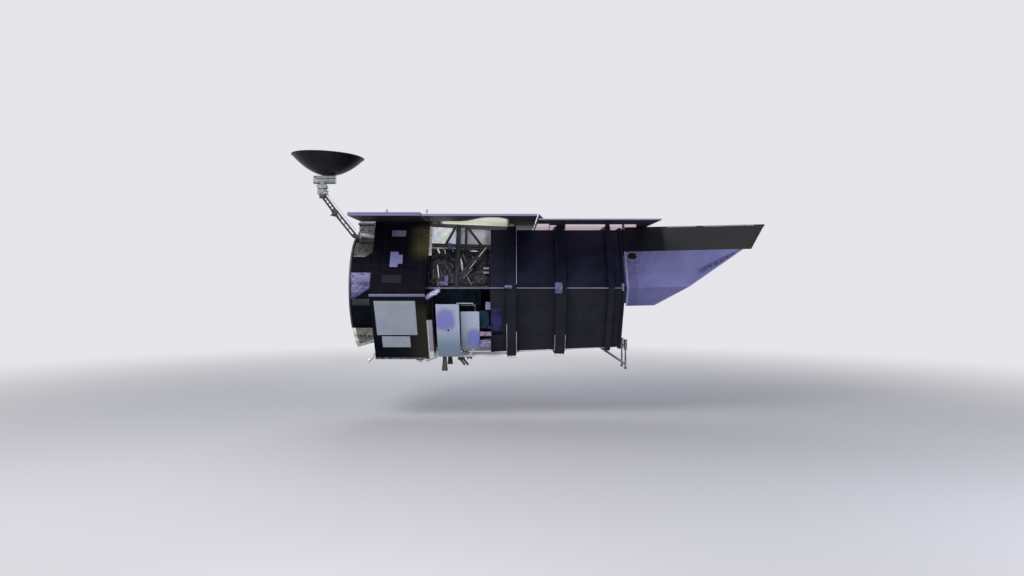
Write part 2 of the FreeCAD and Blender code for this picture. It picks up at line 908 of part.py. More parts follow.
def rail_spans():
    return (
        (bus_front, barrel_rear + rear_band_start),
        (barrel_rear + rear_band_start + rear_band_width, barrel_rear + middle_band_start),
        (barrel_rear + middle_band_start + middle_band_width, barrel_rear + front_band_start),
        (barrel_rear + front_band_start + front_band_width, barrel_front - mouth_ring_width),
    )


def top_rail_height(x):
    return band_top + top_rail_rear_rise * (top_rail_end - x) / (top_rail_end - bus_front)


def top_rails():
    rear = top_rail_height(bus_front)
    outline = [
        (bus_front, rear),
        (top_rail_end, band_top),
        (top_rail_end, barrel_top),
        (barrel_rear, barrel_top),
        (bus_front, rear - band_proud),
    ]
    y0 = top_rail_place - top_rail_width / 2
    y1 = top_rail_place + top_rail_width / 2
    return [side_profile(side, outline, y0, y1) for side in (-1, 1)]


def bottom_rails():
    barrel = barrel_solid()
    rails = []
    for side in (-1, 1):
        y0 = bottom_rail_place - bottom_rail_width / 2
        y1 = bottom_rail_place + bottom_rail_width / 2
        end = barrel_rear + rear_band_start
        rail = side_block(side, bus_front, end, y0, y1, -rear_band_bottom, -barrel_rear_bottom)
        rails += solid_list(rail.cut(barrel))
    return rails


def bay_frames():
    upper = (bus_half_width - bay_frame_inset, -bus_waist_drop)
    lower = (bus_flat_half - bay_frame_inset, -bus_bottom)
    end = bus_front + bay_frame_length
    sizes = (bay_frame_down, bay_frame_height, bus_front, end, bay_frame_thickness)
    return [facet_plate(side, upper, lower, *sizes) for side in (-1, 1)]


def keel_boxes():
    boxes = []
    x0 = bus_front + keel_box_start
    x1 = x0 + keel_box_length
    y0 = bottom_rail_place + bottom_rail_width / 2
    z0 = -rear_band_bottom + keel_rod_radius
    for side in (-1, 1):
        boxes.append(side_block(side, x0, x1, y0, y0 + keel_box_width, z0, z0 + keel_box_height))
    return boxes


def keel_rods():
    rails = Part.makeCompound(bottom_rails())
    rods = []
    for side in (-1, 1):
        for offset in (-keel_rod_offset, keel_rod_offset):
            y = side * (bottom_rail_place + offset)
            start = Vector(bus_front + keel_rod_start, y, -rear_band_bottom - keel_rod_sink)
            end = start - Vector(keel_rod_length, 0, keel_rod_fall)
            rods += solid_list(rod(start, end, keel_rod_radius).cut(rails))
    return rods


def band_shoe(side, x0, bottom, length):
    outline = [
        (x0, -bottom + band_shoe_height),
        (x0, -bottom),
        (x0 + length, -bottom),
        (x0 + length, -bottom + band_shoe_toe),
    ]
    shoe = side_profile(side, outline, band_shoe_place - band_shoe_half, band_shoe_place + band_shoe_half)
    return max(shoe.cut(barrel_solid()).Solids, key=lambda piece: piece.Volume)


def band_shoes():
    rear_x = barrel_rear + rear_band_start + rear_band_width
    middle_x = barrel_rear + middle_band_start + middle_band_width
    shoes = []
    for side in (-1, 1):
        shoes.append(band_shoe(side, rear_x, rear_band_bottom, band_shoe_length))
        shoes.append(band_shoe(side, middle_x, middle_band_bottom, band_shoe_length * middle_shoe_share))
    return shoes


def side_rails():
    barrel = barrel_solid()
    rails = []
    for side in (-1, 1):
        for x0, x1 in rail_spans():
            y1 = barrel_half_width + side_rail_depth / 2
            half = side_rail_height / 2
            rail = side_block(side, x0, x1, y1 - side_rail_depth, y1, -half, half)
            rails += solid_list(rail.cut(barrel))
    return rails


# Truss of the instrument bay, in the plane of each upper facet
def bay_point(side, x_share, down_share):
    x = bus_front + bay_length * x_share
    y = top_rail_place + (barrel_half_width - top_rail_place) * down_share
    z = (top_rail_height(x) - band_proud / 2) * (1 - down_share)
    return Vector(x, side * y, z)


def bay_truss(side):
    post = truss_post_radius
    beam = truss_beam_radius
    thin = truss_rod_radius
    member_shares = (
        ((0.476, 0.0), (0.476, 1.0), post),
        ((0.0, 0.327), (1.0, 0.327), beam),
        ((0.60, 0.0), (0.60, 0.327), thin),
        ((0.43, 0.0), (0.268, 0.327), thin),
        ((0.61, 0.0), (0.863, 0.327), thin),
        ((0.958, 0.327), (0.476, 0.926), thin),
        ((0.925, 0.327), (0.476, 0.845), thin),
    )
    rods = []
    for start_shares, end_shares, radius in member_shares:
        rods.append(rod(bay_point(side, *start_shares), bay_point(side, *end_shares), radius))
    truss = fused(rods)
    room = block(bus_front, barrel_rear, -bus_half_width, bus_half_width, -bus_bottom, bus_top)
    truss = truss.common(room).cut(Part.makeCompound(top_rails() + side_rails()))
    pieces = sorted(truss.Solids, key=lambda piece: piece.Volume)
    return [pieces[-1]]


def corner_struts():
    rails = Part.makeCompound(side_rails())
    struts = []
    for side in (-1, 1):
        root = Vector(bus_front - overrun, side * corner_strut_place, -corner_strut_drop)
        tip = Vector(bus_front + corner_strut_reach, side * barrel_half_width, 0)
        strut = rod(root, tip, corner_strut_radius).cut(rails)
        room = block(bus_front, barrel_rear, -2 * bus_half_width, 2 * bus_half_width, -bus_bottom, bus_top)
        pieces = sorted(strut.common(room).Solids, key=lambda piece: piece.Volume)
        struts.append(pieces[-1])
    return struts


# Telescope
def primary_mirror():
    x0 = barrel_rear + mirror_place
    points = []
    steps = 4
    for index in range(steps + 1):
        radius = mirror_hole_radius + (mirror_radius - mirror_hole_radius) * index / steps
        points.append(Vector(x0 + radius * radius / (4 * mirror_focal_length), radius, 0))
    curve = Part.BSplineCurve()
    curve.interpolate(points)
    rear = x0 - mirror_edge
    edges = [
        curve.toShape(),
        Part.LineSegment(points[-1], Vector(rear, mirror_radius, 0)).toShape(),
        Part.LineSegment(Vector(rear, mirror_radius, 0), Vector(rear, mirror_hole_radius, 0)).toShape(),
        Part.LineSegment(Vector(rear, mirror_hole_radius, 0), points[0]).toShape(),
    ]
    face = Part.Face(Part.Wire(edges))
    return face.revolve(Vector(0, 0, 0), ahead, 360)


def mirror_cell():
    x0 = barrel_rear + bulkhead_thickness
    rear = barrel_rear + mirror_place - mirror_edge
    outer = Part.makeCylinder(mirror_cell_radius, mirror_cell_depth, Vector(x0, 0, 0), ahead)
    bore_start = Vector(rear, 0, 0)
    bore = Part.makeCylinder(mirror_cell_radius - mirror_cell_wall, mirror_cell_depth, bore_start, ahead)
    return outer.cut(bore)


def centre_baffle():
    start = barrel_rear + mirror_place - mirror_edge
    tip = Vector(start + centre_baffle_length, 0, 0)
    foot = Vector(start, 0, 0)
    outer = cone(foot, tip, centre_baffle_radius, centre_baffle_mouth_radius)
    wall = centre_baffle_wall
    inner = cone(foot, tip, centre_baffle_radius - wall, centre_baffle_mouth_radius - wall)
    return outer.cut(inner)


def secondary_assembly():
    x0 = barrel_rear + secondary_place
    ring = Part.makeCylinder(secondary_ring_radius, secondary_ring_depth, Vector(x0, 0, 0), ahead)
    pocket_radius = secondary_ring_radius - secondary_ring_wall
    pocket_depth = secondary_ring_depth / 2
    pocket = Part.makeCylinder(pocket_radius, pocket_depth, Vector(x0, 0, 0), ahead)
    body = ring.cut(pocket)
    root_radius = mirror_cell_radius - mirror_cell_wall / 2
    root_x = barrel_rear + bulkhead_thickness + mirror_cell_depth
    legs = [body]
    for index in range(secondary_strut_pairs):
        for spread in (-secondary_strut_spread_deg, secondary_strut_spread_deg):
            middle = math.pi / 2 + 2 * math.pi * index / secondary_strut_pairs
            angle = middle + math.radians(spread)
            root = Vector(root_x, root_radius * math.cos(angle), root_radius * math.sin(angle))
            tip_radius = secondary_ring_radius - secondary_ring_wall
            tip_x = x0 + secondary_ring_depth * secondary_strut_tip_share
            tip = Vector(tip_x, tip_radius * math.cos(middle), tip_radius * math.sin(middle))
            legs.append(rod(root, tip, secondary_strut_radius))
    half = barrel_half_width
    room = block(root_x, barrel_front, -half, half, -half, half)
    return fused(legs).common(room)


def secondary_mirror():
    back = barrel_rear + secondary_place + secondary_ring_depth / 2
    front = Vector(back - secondary_mirror_thickness, 0, 0)
    disc = rod(front, Vector(back, 0, 0), secondary_mirror_radius)
    return disc


# Solar array
def row_sizes(row):
    if row == "rear":
        return rear_row_rear, rear_row_front, rear_row_under, rear_row_thickness
    return front_row_rear, front_row_front, front_row_under, front_row_thickness


def hinge_places(x0, x1):
    return [x0 + (x1 - x0) * share for share in array_hinge_shares]


def fixed_hinge(side, x, y_edge, y_axis, z_axis, radius, pin_radius, knuckle, lug):
    parts = []
    for start in (x - knuckle / 2 - running_gap - lug, x + knuckle / 2 + running_gap):
        eye = Part.makeCylinder(radius, lug, Vector(start, side * y_axis, z_axis), ahead)
        arm = side_block(side, start, start + lug, y_edge, y_axis, z_axis - radius, z_axis + radius)
        parts += [eye, arm]
    length = knuckle + 2 * running_gap + 2 * lug
    pin = Part.makeCylinder(pin_radius, length, Vector(x - length / 2, side * y_axis, z_axis), ahead)
    return parts + [pin]


def moving_hinge(side, x, y_edge, y_axis, z_axis, radius, pin_radius, knuckle):
    start = x - knuckle / 2
    eye = Part.makeCylinder(radius, knuckle, Vector(start, side * y_axis, z_axis), ahead)
    arm = side_block(side, start, start + knuckle, y_axis, y_edge, z_axis - radius, z_axis + radius)
    bore_radius = pin_radius + seat_gap
    bore = Part.makeCylinder(bore_radius, knuckle, Vector(start, side * y_axis, z_axis), ahead)
    return fused([eye, arm]).cut(bore)


def step_strip(y0, y1):
    foot = front_row_rear + step_strip_length
    head = front_row_rear + step_strip_start
    low = front_row_under + front_row_thickness
    high = rear_row_under + rear_row_thickness
    outline = [
        (foot - step_strip_width, low),
        (foot, low),
        (head + step_strip_width, high),
        (head, high),
    ]
    return profile(outline, y0, y1)


def array_hinge_axis():
    return array_centre_half + array_hinge_gap / 2


def centre_panel(row):
    x0, x1, under, thickness = row_sizes(row)
    parts = [block(x0, x1, -array_centre_half, array_centre_half, under, under + thickness)]
    if row == "front":
        parts.append(step_strip(-array_centre_half, array_centre_half))
    z_axis = under + thickness / 2
    for side in (-1, 1):
        for x in hinge_places(x0, x1):
            parts += fixed_hinge(
                side, x, array_centre_half, array_hinge_axis(), z_axis,
                array_hinge_radius, array_pin_radius, array_knuckle_width, array_lug_width,
            )
    return fused(parts)


def wing_panel(row, side):
    x0, x1, under, thickness = row_sizes(row)
    inner = array_centre_half + array_hinge_gap
    parts = [side_block(side, x0, x1, inner, array_half_span, under, under + thickness)]
    if row == "front":
        parts.append(step_strip(*sorted((side * inner, side * array_half_span))))
    z_axis = under + thickness / 2
    for x in hinge_places(x0, x1):
        parts.append(moving_hinge(
            side, x, inner, array_hinge_axis(), z_axis,
            array_hinge_radius, array_pin_radius, array_knuckle_width,
        ))
    return fused(parts)


def array_standoffs():
    rails = Part.makeCompound(top_rails())
    stands = []
    half = standoff_width / 2
    for side in (-1, 1):
        y0 = standoff_place - half
        y1 = standoff_place + half
        x = barrel_rear + rear_band_start + rear_band_width / 2
        stands.append(side_block(side, x - half, x + half, y0, y1, band_top, rear_row_under))
        rail_y0 = top_rail_place - top_rail_width / 2
        rail_y1 = top_rail_place + top_rail_width / 2
        x = rear_row_rear + standoff_width
        pad = side_block(side, x - half, x + half, rail_y0, rail_y1, band_top, rear_row_under)
        stands += solid_list(pad.cut(rails))
    return stands


def row_link_brackets():
    links = []
    for side in (-1, 1):
        y0 = standoff_place - link_bracket_width / 2
        y1 = standoff_place + link_bracket_width / 2
        upright = side_block(
            side, rear_row_front, rear_row_front + link_bracket_thickness, y0, y1,
            front_row_under, rear_row_under + rear_row_thickness,
        )
        foot = side_block(
            side, rear_row_front, front_row_rear, y0, y1,
            front_row_under, front_row_under + link_bracket_thickness,
        )
        links.append(fused([upright, foot]))
    return links


# Instrument shade flaps
flap_rear = bus_rear + flap_start
flap_front = flap_rear + flap_length
flap_under = bus_top - flap_drop
flap_axis_height = flap_under + flap_thickness / 2


def flap_hinge_x():
    return [flap_rear + flap_length * share for share in flap_hinge_shares]


def flap_hinge_brackets():
    brackets = []
    for side in (-1, 1):
        for x in flap_hinge_x():
            inner = bus_flat_half - flap_foot_length
            parts = fixed_hinge(
                side, x, inner, flap_hinge_place, flap_axis_height,
                flap_hinge_radius, flap_pin_radius, array_knuckle_width, array_lug_width,
            )
            half = array_knuckle_width / 2 + running_gap + array_lug_width
            top = bus_top + flap_foot_thickness
            parts.append(side_block(side, x - half, x + half, inner, bus_flat_half, bus_top, top))
            brackets.append(fused(parts).cut(bus_core()))
    return brackets


def shade_flap(side):
    inner = flap_hinge_place + flap_hinge_gap / 2
    top = flap_under + flap_thickness
    parts = [side_block(side, flap_rear, flap_front, inner, array_half_span, flap_under, top)]
    for x in flap_hinge_x():
        parts.append(moving_hinge(
            side, x, inner, flap_hinge_place, flap_axis_height,
            flap_hinge_radius, flap_pin_radius, array_knuckle_width,
        ))
    return fused(parts)


# High-gain antenna boom
def antenna_point(x, offset, z):
    return Vector(x, antenna_place + offset, z)


def boom_root_bracket():
    tube = rod(
        antenna_point(bus_rear + overrun, 0, bracket_tube_root_z),
        antenna_point(bracket_tube_end_x, 0, bracket_tube_end_z),
        bracket_tube_radius,
    )
    half = bracket_block_half
    y0 = antenna_place - half
    y1 = antenna_place + half
    low = boom_root_z - bracket_tube_radius
    high = bracket_tube_end_z + bracket_tube_radius
    x0 = bracket_tube_end_x
    parts = [tube, block(x0, x0 + bracket_block_length, y0, y1, low, high)]
    for inner in (boom_knuckle_half + running_gap, -boom_knuckle_half - running_gap - boom_lug_width):
        y = antenna_place + inner
        arm_low = boom_root_z - bracket_tube_radius
        arm_high = boom_root_z + bracket_tube_radius / 2
        parts.append(block(boom_root_x, x0 + bracket_block_length, y, y + boom_lug_width, arm_low, arm_high))
        eye_start = Vector(boom_root_x, y, boom_root_z)
        parts.append(Part.makeCylinder(bracket_tube_radius, boom_lug_width, eye_start, to_port))
    length = 2 * (boom_knuckle_half + running_gap + boom_lug_width)
    pin_start = antenna_point(boom_root_x, -length / 2, boom_root_z)
    parts.append(Part.makeCylinder(boom_pin_radius, length, pin_start, to_port))
    room = block(-bus_rear, bus_rear, -2 * bus_half_width, 2 * bus_half_width, -bus_bottom, bus_top)
    return fused(parts).common(room)


def boom_segment(start, end):
    direction = (end - start).normalize()
    offset = Vector(direction.z, 0, -direction.x) * boom_tube_spread
    parts = []
    for shift in (offset, -offset):
        parts.append(rod(start + shift, end + shift, boom_tube_radius))
    for share in boom_rung_shares:
        middle = start + (end - start) * share
        parts.append(rod(middle - offset, middle + offset, boom_rung_radius))
    return parts


def antenna_boom():
    root = antenna_point(boom_root_x, 0, boom_root_z)
    elbow = antenna_point(boom_elbow_x, 0, boom_elbow_z)
    top = antenna_point(boom_top_x, 0, boom_top_z)
    parts = boom_segment(root, elbow) + boom_segment(elbow, top)
    half = boom_knuckle_half
    knuckle_start = antenna_point(boom_root_x, -half, boom_root_z)
    parts.append(Part.makeCylinder(boom_knuckle_radius, 2 * half, knuckle_start, to_port))
    foot = root * boom_fin_foot_share + elbow * (1 - boom_fin_foot_share)
    tip_x = boom_elbow_x - boom_elbow_radius * boom_fin_shares[0]
    tip_z = boom_elbow_z - boom_elbow_radius * boom_fin_shares[1]
    fin = [(elbow.x, elbow.z), (tip_x, tip_z), (foot.x, foot.z)]
    parts.append(profile(fin, antenna_place - boom_fin_half, antenna_place + boom_fin_half))
    elbow_start = antenna_point(boom_elbow_x, -half, boom_elbow_z)
    parts.append(Part.makeCylinder(boom_elbow_radius, 2 * half, elbow_start, to_port))
    cap_foot = top - Vector(0, 0, boom_elbow_radius)
    parts.append(Part.makeCylinder(azimuth_base_radius, boom_elbow_radius, cap_foot, sunward))
    bore_start = knuckle_start - Vector(0, half, 0)
    bore = Part.makeCylinder(boom_pin_radius + seat_gap, 4 * half, bore_start, to_port)
    reach = 2 * azimuth_base_radius
    above_cap = block(
        boom_top_x - reach, boom_top_x + reach,
        antenna_place - reach, antenna_place + reach, boom_top_z, boom_top_z + reach,
    )
    return fused(parts).cut(bore).cut(above_cap)


def azimuth_base():
    foot = antenna_point(boom_top_x, 0, boom_top_z)
    return Part.makeCylinder(azimuth_base_radius, azimuth_base_height, foot, sunward)


def gimbal_housing():
    foot = antenna_point(boom_top_x, 0, boom_top_z + azimuth_base_height + running_gap)
    column_height = elevation_axis_height - foot.z
    column = Part.makeCylinder(azimuth_column_radius, column_height, foot, sunward)
    rear = antenna_point(boom_top_x - elevation_housing_rear, 0, elevation_axis_height)
    front = antenna_point(boom_top_x + elevation_housing_front, 0, elevation_axis_height)
    return fused([column, rod(rear, front, elevation_housing_radius)])


def dish_yoke():
    rear_x = boom_top_x - elevation_housing_rear - running_gap - elevation_plate_thickness
    front_x = boom_top_x + elevation_housing_front + running_gap
    top = yoke_top
    parts = []
    for x in (rear_x, front_x):
        centre = antenna_point(x, 0, elevation_axis_height)
        parts.append(Part.makeCylinder(elevation_housing_radius, elevation_plate_thickness, centre, ahead))
        y0 = antenna_place - bridge_half_width
        y1 = antenna_place + bridge_half_width
        parts.append(block(x, x + elevation_plate_thickness, y0, y1, elevation_axis_height, top))
    bridge_x1 = front_x + elevation_plate_thickness
    parts.append(block(rear_x, bridge_x1, y0, y1, top - bridge_thickness, top))
    return fused(parts)


def dish_reflector():
    steps = 5
    inner = []
    outer = []
    for index in range(steps + 1):
        radius = dish_radius * index / steps
        rise = dish_depth * (index / steps) ** 2
        inner.append(Vector(radius, 0, rise + dish_wall))
        outer.append(Vector(radius, 0, rise))
    inner_curve = Part.BSplineCurve()
    inner_curve.interpolate(inner)
    outer_curve = Part.BSplineCurve()
    outer_curve.interpolate(outer)
    edges = [
        outer_curve.toShape(),
        Part.LineSegment(outer[-1], inner[-1]).toShape(),
        inner_curve.toShape(),
        Part.LineSegment(inner[0], outer[0]).toShape(),
    ]
    shell = Part.Face(Part.Wire(edges)).revolve(Vector(0, 0, 0), sunward, 360)
    rim = Part.makeTorus(dish_radius, dish_rim_radius, Vector(0, 0, dish_depth + dish_wall / 2), sunward)
    dish = fused([shell, rim])
    return place_on_yoke(dish)


def place_on_yoke(shape):
    lean = math.tan(math.radians(dish_tilt_deg))
    low_side_drop = (dish_radius * lean) ** 2 / (4 * dish_depth)
    moved = shape.copy()
    moved.rotate(Vector(0, 0, 0), to_port, dish_tilt_deg)
    moved.translate(antenna_point(boom_top_x + dish_offset, 0, yoke_top + seat_gap + low_side_drop))
    return moved


def dish_feed():
    bowl_rise = dish_depth * (feed_radius / dish_radius) ** 2
    foot = Vector(0, 0, dish_wall + bowl_rise + seat_gap)
    neck = Vector(0, 0, feed_length * feed_neck_share)
    stem = cone(foot, neck, feed_radius, feed_neck_radius)
    horn = cone(neck, Vector(0, 0, feed_length), feed_neck_radius, feed_mouth_radius)
    return place_on_yoke(fused([stem, horn]))


def boom_harness():
    exit_x = boom_top_x + azimuth_base_radius + harness_radius + seat_gap
    points = [
        antenna_point(exit_x, 0, boom_top_z + azimuth_base_height * harness_exit_share),
        antenna_point(
            boom_top_x + azimuth_base_radius * harness_bow_shares[0], 0,
            boom_top_z - azimuth_base_height * harness_bow_shares[1],
        ),
        antenna_point(
            boom_elbow_x + boom_elbow_radius * harness_above_elbow_shares[0], 0,
            boom_elbow_z + boom_elbow_radius * harness_above_elbow_shares[1],
        ),
        antenna_point(
            boom_elbow_x + boom_elbow_radius * harness_below_elbow_shares[0], 0,
            boom_elbow_z - boom_elbow_radius * harness_below_elbow_shares[1],
        ),
        antenna_point(
            boom_root_x + boom_knuckle_radius * harness_root_shares[0], 0,
            boom_root_z + boom_knuckle_radius * harness_root_shares[1],
        ),
    ]
    return tube_path(points, harness_bend_radius, harness_radius)


# Aperture cover
cover_hinge_x = barrel_front + cover_hinge_reach
cover_front_x = cover_hinge_x + cover_length
cover_rear_x = barrel_front + cover_rear_gap
cover_break_x = barrel_front + cover_panel_front
cover_low_x = barrel_front + cover_skirt_front


def cover_rise(x):
    return (x - cover_hinge_x) * math.tan(math.radians(cover_slope_deg))


def cover_hinge_brackets():
    brackets = []
    for side in (-1, 1):
        parts = []
        near = cover_boom_place - cover_eye_half - running_gap - cover_lug_width
        far = cover_boom_place + cover_eye_half + running_gap
        for start in (near, far):
            low, high = sorted((side * start, side * (start + cover_lug_width)))
            eye_start = Vector(cover_hinge_x, low, cover_hinge_height)
            parts.append(Part.makeCylinder(cover_lug_radius, high - low, eye_start, to_port))
            z0 = cover_hinge_height - cover_lug_radius
            parts.append(block(barrel_front, cover_hinge_x, low, high, z0, cover_hinge_height))
        half = cover_eye_half + running_gap + cover_lug_width
        y0 = side * cover_boom_place - half
        pin_start = Vector(cover_hinge_x, y0, cover_hinge_height)
        parts.append(Part.makeCylinder(cover_pin_radius, 2 * half, pin_start, to_port))
        plate_x1 = barrel_front + cover_pin_radius
        z0 = cover_hinge_height - cover_lug_radius
        plate_z0 = z0 - cover_lug_radius
        parts.append(block(barrel_front, plate_x1, y0, y0 + 2 * half, plate_z0, cover_hinge_height))
        brackets.append(fused(parts))
    return brackets


def cover_boom(side):
    pivot = Vector(cover_hinge_x, side * cover_boom_place, cover_hinge_height)
    end = pivot + Vector(cover_length, 0, cover_rise(cover_front_x))
    start = pivot + (end - pivot).normalize() * cover_lug_radius / 2
    eye_start = pivot - Vector(0, cover_eye_half, 0)
    eye = Part.makeCylinder(cover_lug_radius, 2 * cover_eye_half, eye_start, to_port)
    bore_start = eye_start - Vector(0, cover_eye_half, 0)
    bore = Part.makeCylinder(cover_pin_radius + seat_gap, 4 * cover_eye_half, bore_start, to_port)
    return fused([rod(start, end, cover_boom_radius), eye]).cut(bore)


def cover_spreaders():
    bars = []
    inner = cover_boom_place - cover_boom_radius
    for share in cover_spreader_shares:
        x = cover_hinge_x + cover_length * share - cover_boom_radius
        start = Vector(x, -inner, cover_hinge_height + cover_rise(x))
        bars.append(rod(start, start + to_port * 2 * inner, cover_spreader_radius))
    return bars


def cover_top_sheet():
    x0 = cover_hinge_x + cover_lug_radius
    x1 = cover_front_x
    rear = cover_top_height + cover_rise(x0)
    front = cover_top_height + cover_rise(x1)
    outline = [(x0, rear), (x1, front), (x1, front - cover_sheet), (x0, rear - cover_sheet)]
    return profile(outline, -cover_top_half, cover_top_half)


def cover_sheet_plate(side, points, thickness):
    inner = [Vector(x, side * y, z + cover_rise(x)) for x, y, z in points]
    face = Part.Face(Part.makePolygon(inner + [inner[0]]))
    normal = face.normalAt(0, 0)
    if normal.y * side < 0:
        normal = normal * -1
    return face.extrude(normal * -thickness)


def cover_edge_place(height):
    share = (cover_top_height - height) / cover_top_height
    return cover_top_half + (cover_vertex_place - cover_top_half) * share


def cover_side_panel(side):
    lean = math.atan((cover_vertex_place - cover_top_half) / cover_top_height)
    top = cover_top_height - cover_sheet * math.cos(lean) ** 2 - seat_gap * math.cos(lean)
    low = cover_top_height - cover_panel_drop
    lug_low = cover_hinge_height - cover_lug_radius
    lug_front = cover_hinge_x + cover_lug_radius + cover_lug_clearance
    points = [
        (lug_front, cover_edge_place(top), top),
        (cover_front_x, cover_edge_place(top), top),
        (cover_break_x, cover_edge_place(low), low),
        (cover_rear_x, cover_edge_place(low), low),
        (cover_rear_x, cover_edge_place(lug_low), lug_low),
        (lug_front, cover_edge_place(lug_low), lug_low),
    ]
    return cover_sheet_plate(side, points, cover_sheet)


def cover_skirt(side):
    high = cover_top_height - cover_panel_drop - seat_gap
    waist_x = barrel_front + cover_skirt_waist
    upper = cover_sheet_plate(side, [
        (cover_rear_x, cover_edge_place(high), high),
        (cover_break_x, cover_edge_place(high), high),
        (waist_x, cover_vertex_place, 0),
        (cover_rear_x, cover_vertex_place, 0),
    ], cover_sheet)
    lower = cover_sheet_plate(side, [
        (cover_rear_x, cover_vertex_place, 0),
        (waist_x, cover_vertex_place, 0),
        (cover_low_x, cover_skirt_low_place, -cover_skirt_low),
        (cover_rear_x, cover_skirt_low_place, -cover_skirt_low),
    ], cover_sheet)
    return fused([upper, lower])


# Outrigger
def outrigger():
    frames = []
    for side in (-1, 1):
        y = side * outrigger_place
        post_x = barrel_front + outrigger_post_reach
        tip = Vector(post_x, y, -outrigger_tip_drop)
        root = Vector(barrel_front - outrigger_root_back, y, -barrel_front_bottom)
        strut = rod(root, tip, outrigger_strut_radius)
        post_head = Vector(post_x, y, -outrigger_post_top)
        post_foot = Vector(post_x, y, -outrigger_post_bottom)
        post = rod(post_head, post_foot, outrigger_post_radius)
        sleeve_foot = post_head - Vector(0, 0, outrigger_sleeve_length)
        sleeve = rod(post_head, sleeve_foot, outrigger_sleeve_radius)
        arm_z = -barrel_front_bottom
        arm = rod(Vector(barrel_front, y, arm_z), Vector(post_x, y, arm_z), outrigger_post_radius)
        ball = Part.makeSphere(outrigger_ball_radius, post_foot)
        frames.append(fused([strut, post, sleeve, arm, ball]))
    cross = rod(
        Vector(barrel_front + outrigger_post_reach, -outrigger_place, -outrigger_tip_drop),
        Vector(barrel_front + outrigger_post_reach, outrigger_place, -outrigger_tip_drop),
        outrigger_post_radius,
    )
    frame = fused(frames + [cross])
    barrel = fused([barrel_solid()] + barrel_bands())
    return max(frame.cut(barrel).Solids, key=lambda piece: piece.Volume)


# Sensors below the bay
def star_trackers():
    trackers = []
    for side in (-1, 1):
        top = Vector(bus_front + tracker_place, side * bottom_rail_place, -rear_band_bottom)
        neck = top - Vector(0, 0, tracker_neck_length)
        low = top - Vector(0, 0, tracker_length)
        trackers.append(fused([
            rod(top, neck, tracker_neck_radius),
            cone(neck, low, tracker_neck_radius, tracker_mouth_radius),
        ]))
    return trackers


def sun_sensors():
    cant = math.radians(sensor_cant_deg)
    aim = Vector(math.sin(cant), 0, -math.cos(cant))
    pieces = []
    for side in (-1, 1):
        x = bus_front + sensor_place
        y0 = bottom_rail_place - bottom_rail_width / 2
        y1 = bottom_rail_place + bottom_rail_width / 2
        low = -rear_band_bottom - sensor_bracket_height
        parts = [side_block(side, x - sensor_pitch, x + sensor_pitch, y0, y1, low, -rear_band_bottom)]
        for offset in (-sensor_pitch / 2, sensor_pitch / 2):
            z = -rear_band_bottom - sensor_bracket_height / 2
            start = Vector(x + offset, side * bottom_rail_place, z)
            parts.append(rod(start, start + aim * sensor_length, sensor_radius))
        pieces.append(fused(parts))
    return pieces


save("separation_ring", [separation_ring()])
save("aft_skirt", [aft_skirt()])
save("aft_deck", [aft_deck()])
save("skirt_housing", [skirt_housing()])
save("bus_core", [bus_core()])
save("bus_edge_strips", bus_edge_strips())
save("bus_side_plates", bus_side_plates())
save("bus_radiators", bus_radiators())
save("thruster_modules", thruster_boxes() + corner_thrusters())
save("low_gain_masts", low_gain_masts())
save("instrument_carrier", [instrument_carrier()])
save("wide_field_instrument", [upper_instrument()])
save("instrument_cooler", [instrument_cooler()])
save("optical_bench", [optical_bench()])
save("lower_instrument", [lower_instrument()])
save("coolant_lines", coolant_tubes() + junction_boxes() + [foot_pipe(-1), foot_pipe(1)])
save("bay_radiators_starboard", instrument_radiators(-1))
save("bay_radiators_port", instrument_radiators(1))
save("bay_truss_starboard", bay_truss(-1))
save("bay_truss_port", bay_truss(1))
save("bay_rails", top_rails() + bottom_rails() + bay_frames() + keel_boxes() + keel_rods() + band_shoes())
save("side_rails", side_rails() + corner_struts())
for panel_name, panel_solids in barrel_panels().items():
    save("barrel_panel_" + panel_name, panel_solids)
save("mirror_cell", [fused([barrel_bulkhead(), mirror_cell()])])
save("primary_mirror", [primary_mirror()])
save("centre_baffle", [centre_baffle()])
save("secondary_struts", [secondary_assembly()])
save("secondary_mirror", [secondary_mirror()])
save("outrigger", [outrigger()])
save("lower_sensors", star_trackers() + sun_sensors())
save("array_centre_rear", [centre_panel("rear")])
save("array_centre_front", [centre_panel("front")])
save("array_standoffs", array_standoffs() + row_link_brackets())
save("array_wing_rear_starboard", [wing_panel("rear", -1)])
save("array_wing_rear_port", [wing_panel("rear", 1)])
save("array_wing_front_starboard", [wing_panel("front", -1)])
save("array_wing_front_port", [wing_panel("front", 1)])
save("flap_hinge_brackets", flap_hinge_brackets())
save("shade_flap_starboard", [shade_flap(-1)])
save("shade_flap_port", [shade_flap(1)])
save("boom_root_bracket", [boom_root_bracket()])
save("antenna_boom", [antenna_boom()])
save("boom_harness", [boom_harness()])
save("azimuth_base", [azimuth_base()])
save("gimbal_housing", [gimbal_housing()])
save("dish_yoke", [dish_yoke()])
save("dish_reflector", [dish_reflector()])
save("dish_feed", [dish_feed()])
save("cover_hinge_brackets", cover_hinge_brackets())
save("cover_boom_starboard", [cover_boom(-1)])
save("cover_boom_port", [cover_boom(1)])
save("cover_spreaders", cover_spreaders())
save("cover_top_sheet", [cover_top_sheet()])
save("cover_side_panels", [cover_side_panel(-1), cover_side_panel(1)])
save("cover_skirts", [cover_skirt(-1), cover_skirt(1)])
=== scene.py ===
from functools import reduce
import math

import bpy
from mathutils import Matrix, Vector
from mathutils.kdtree import KDTree


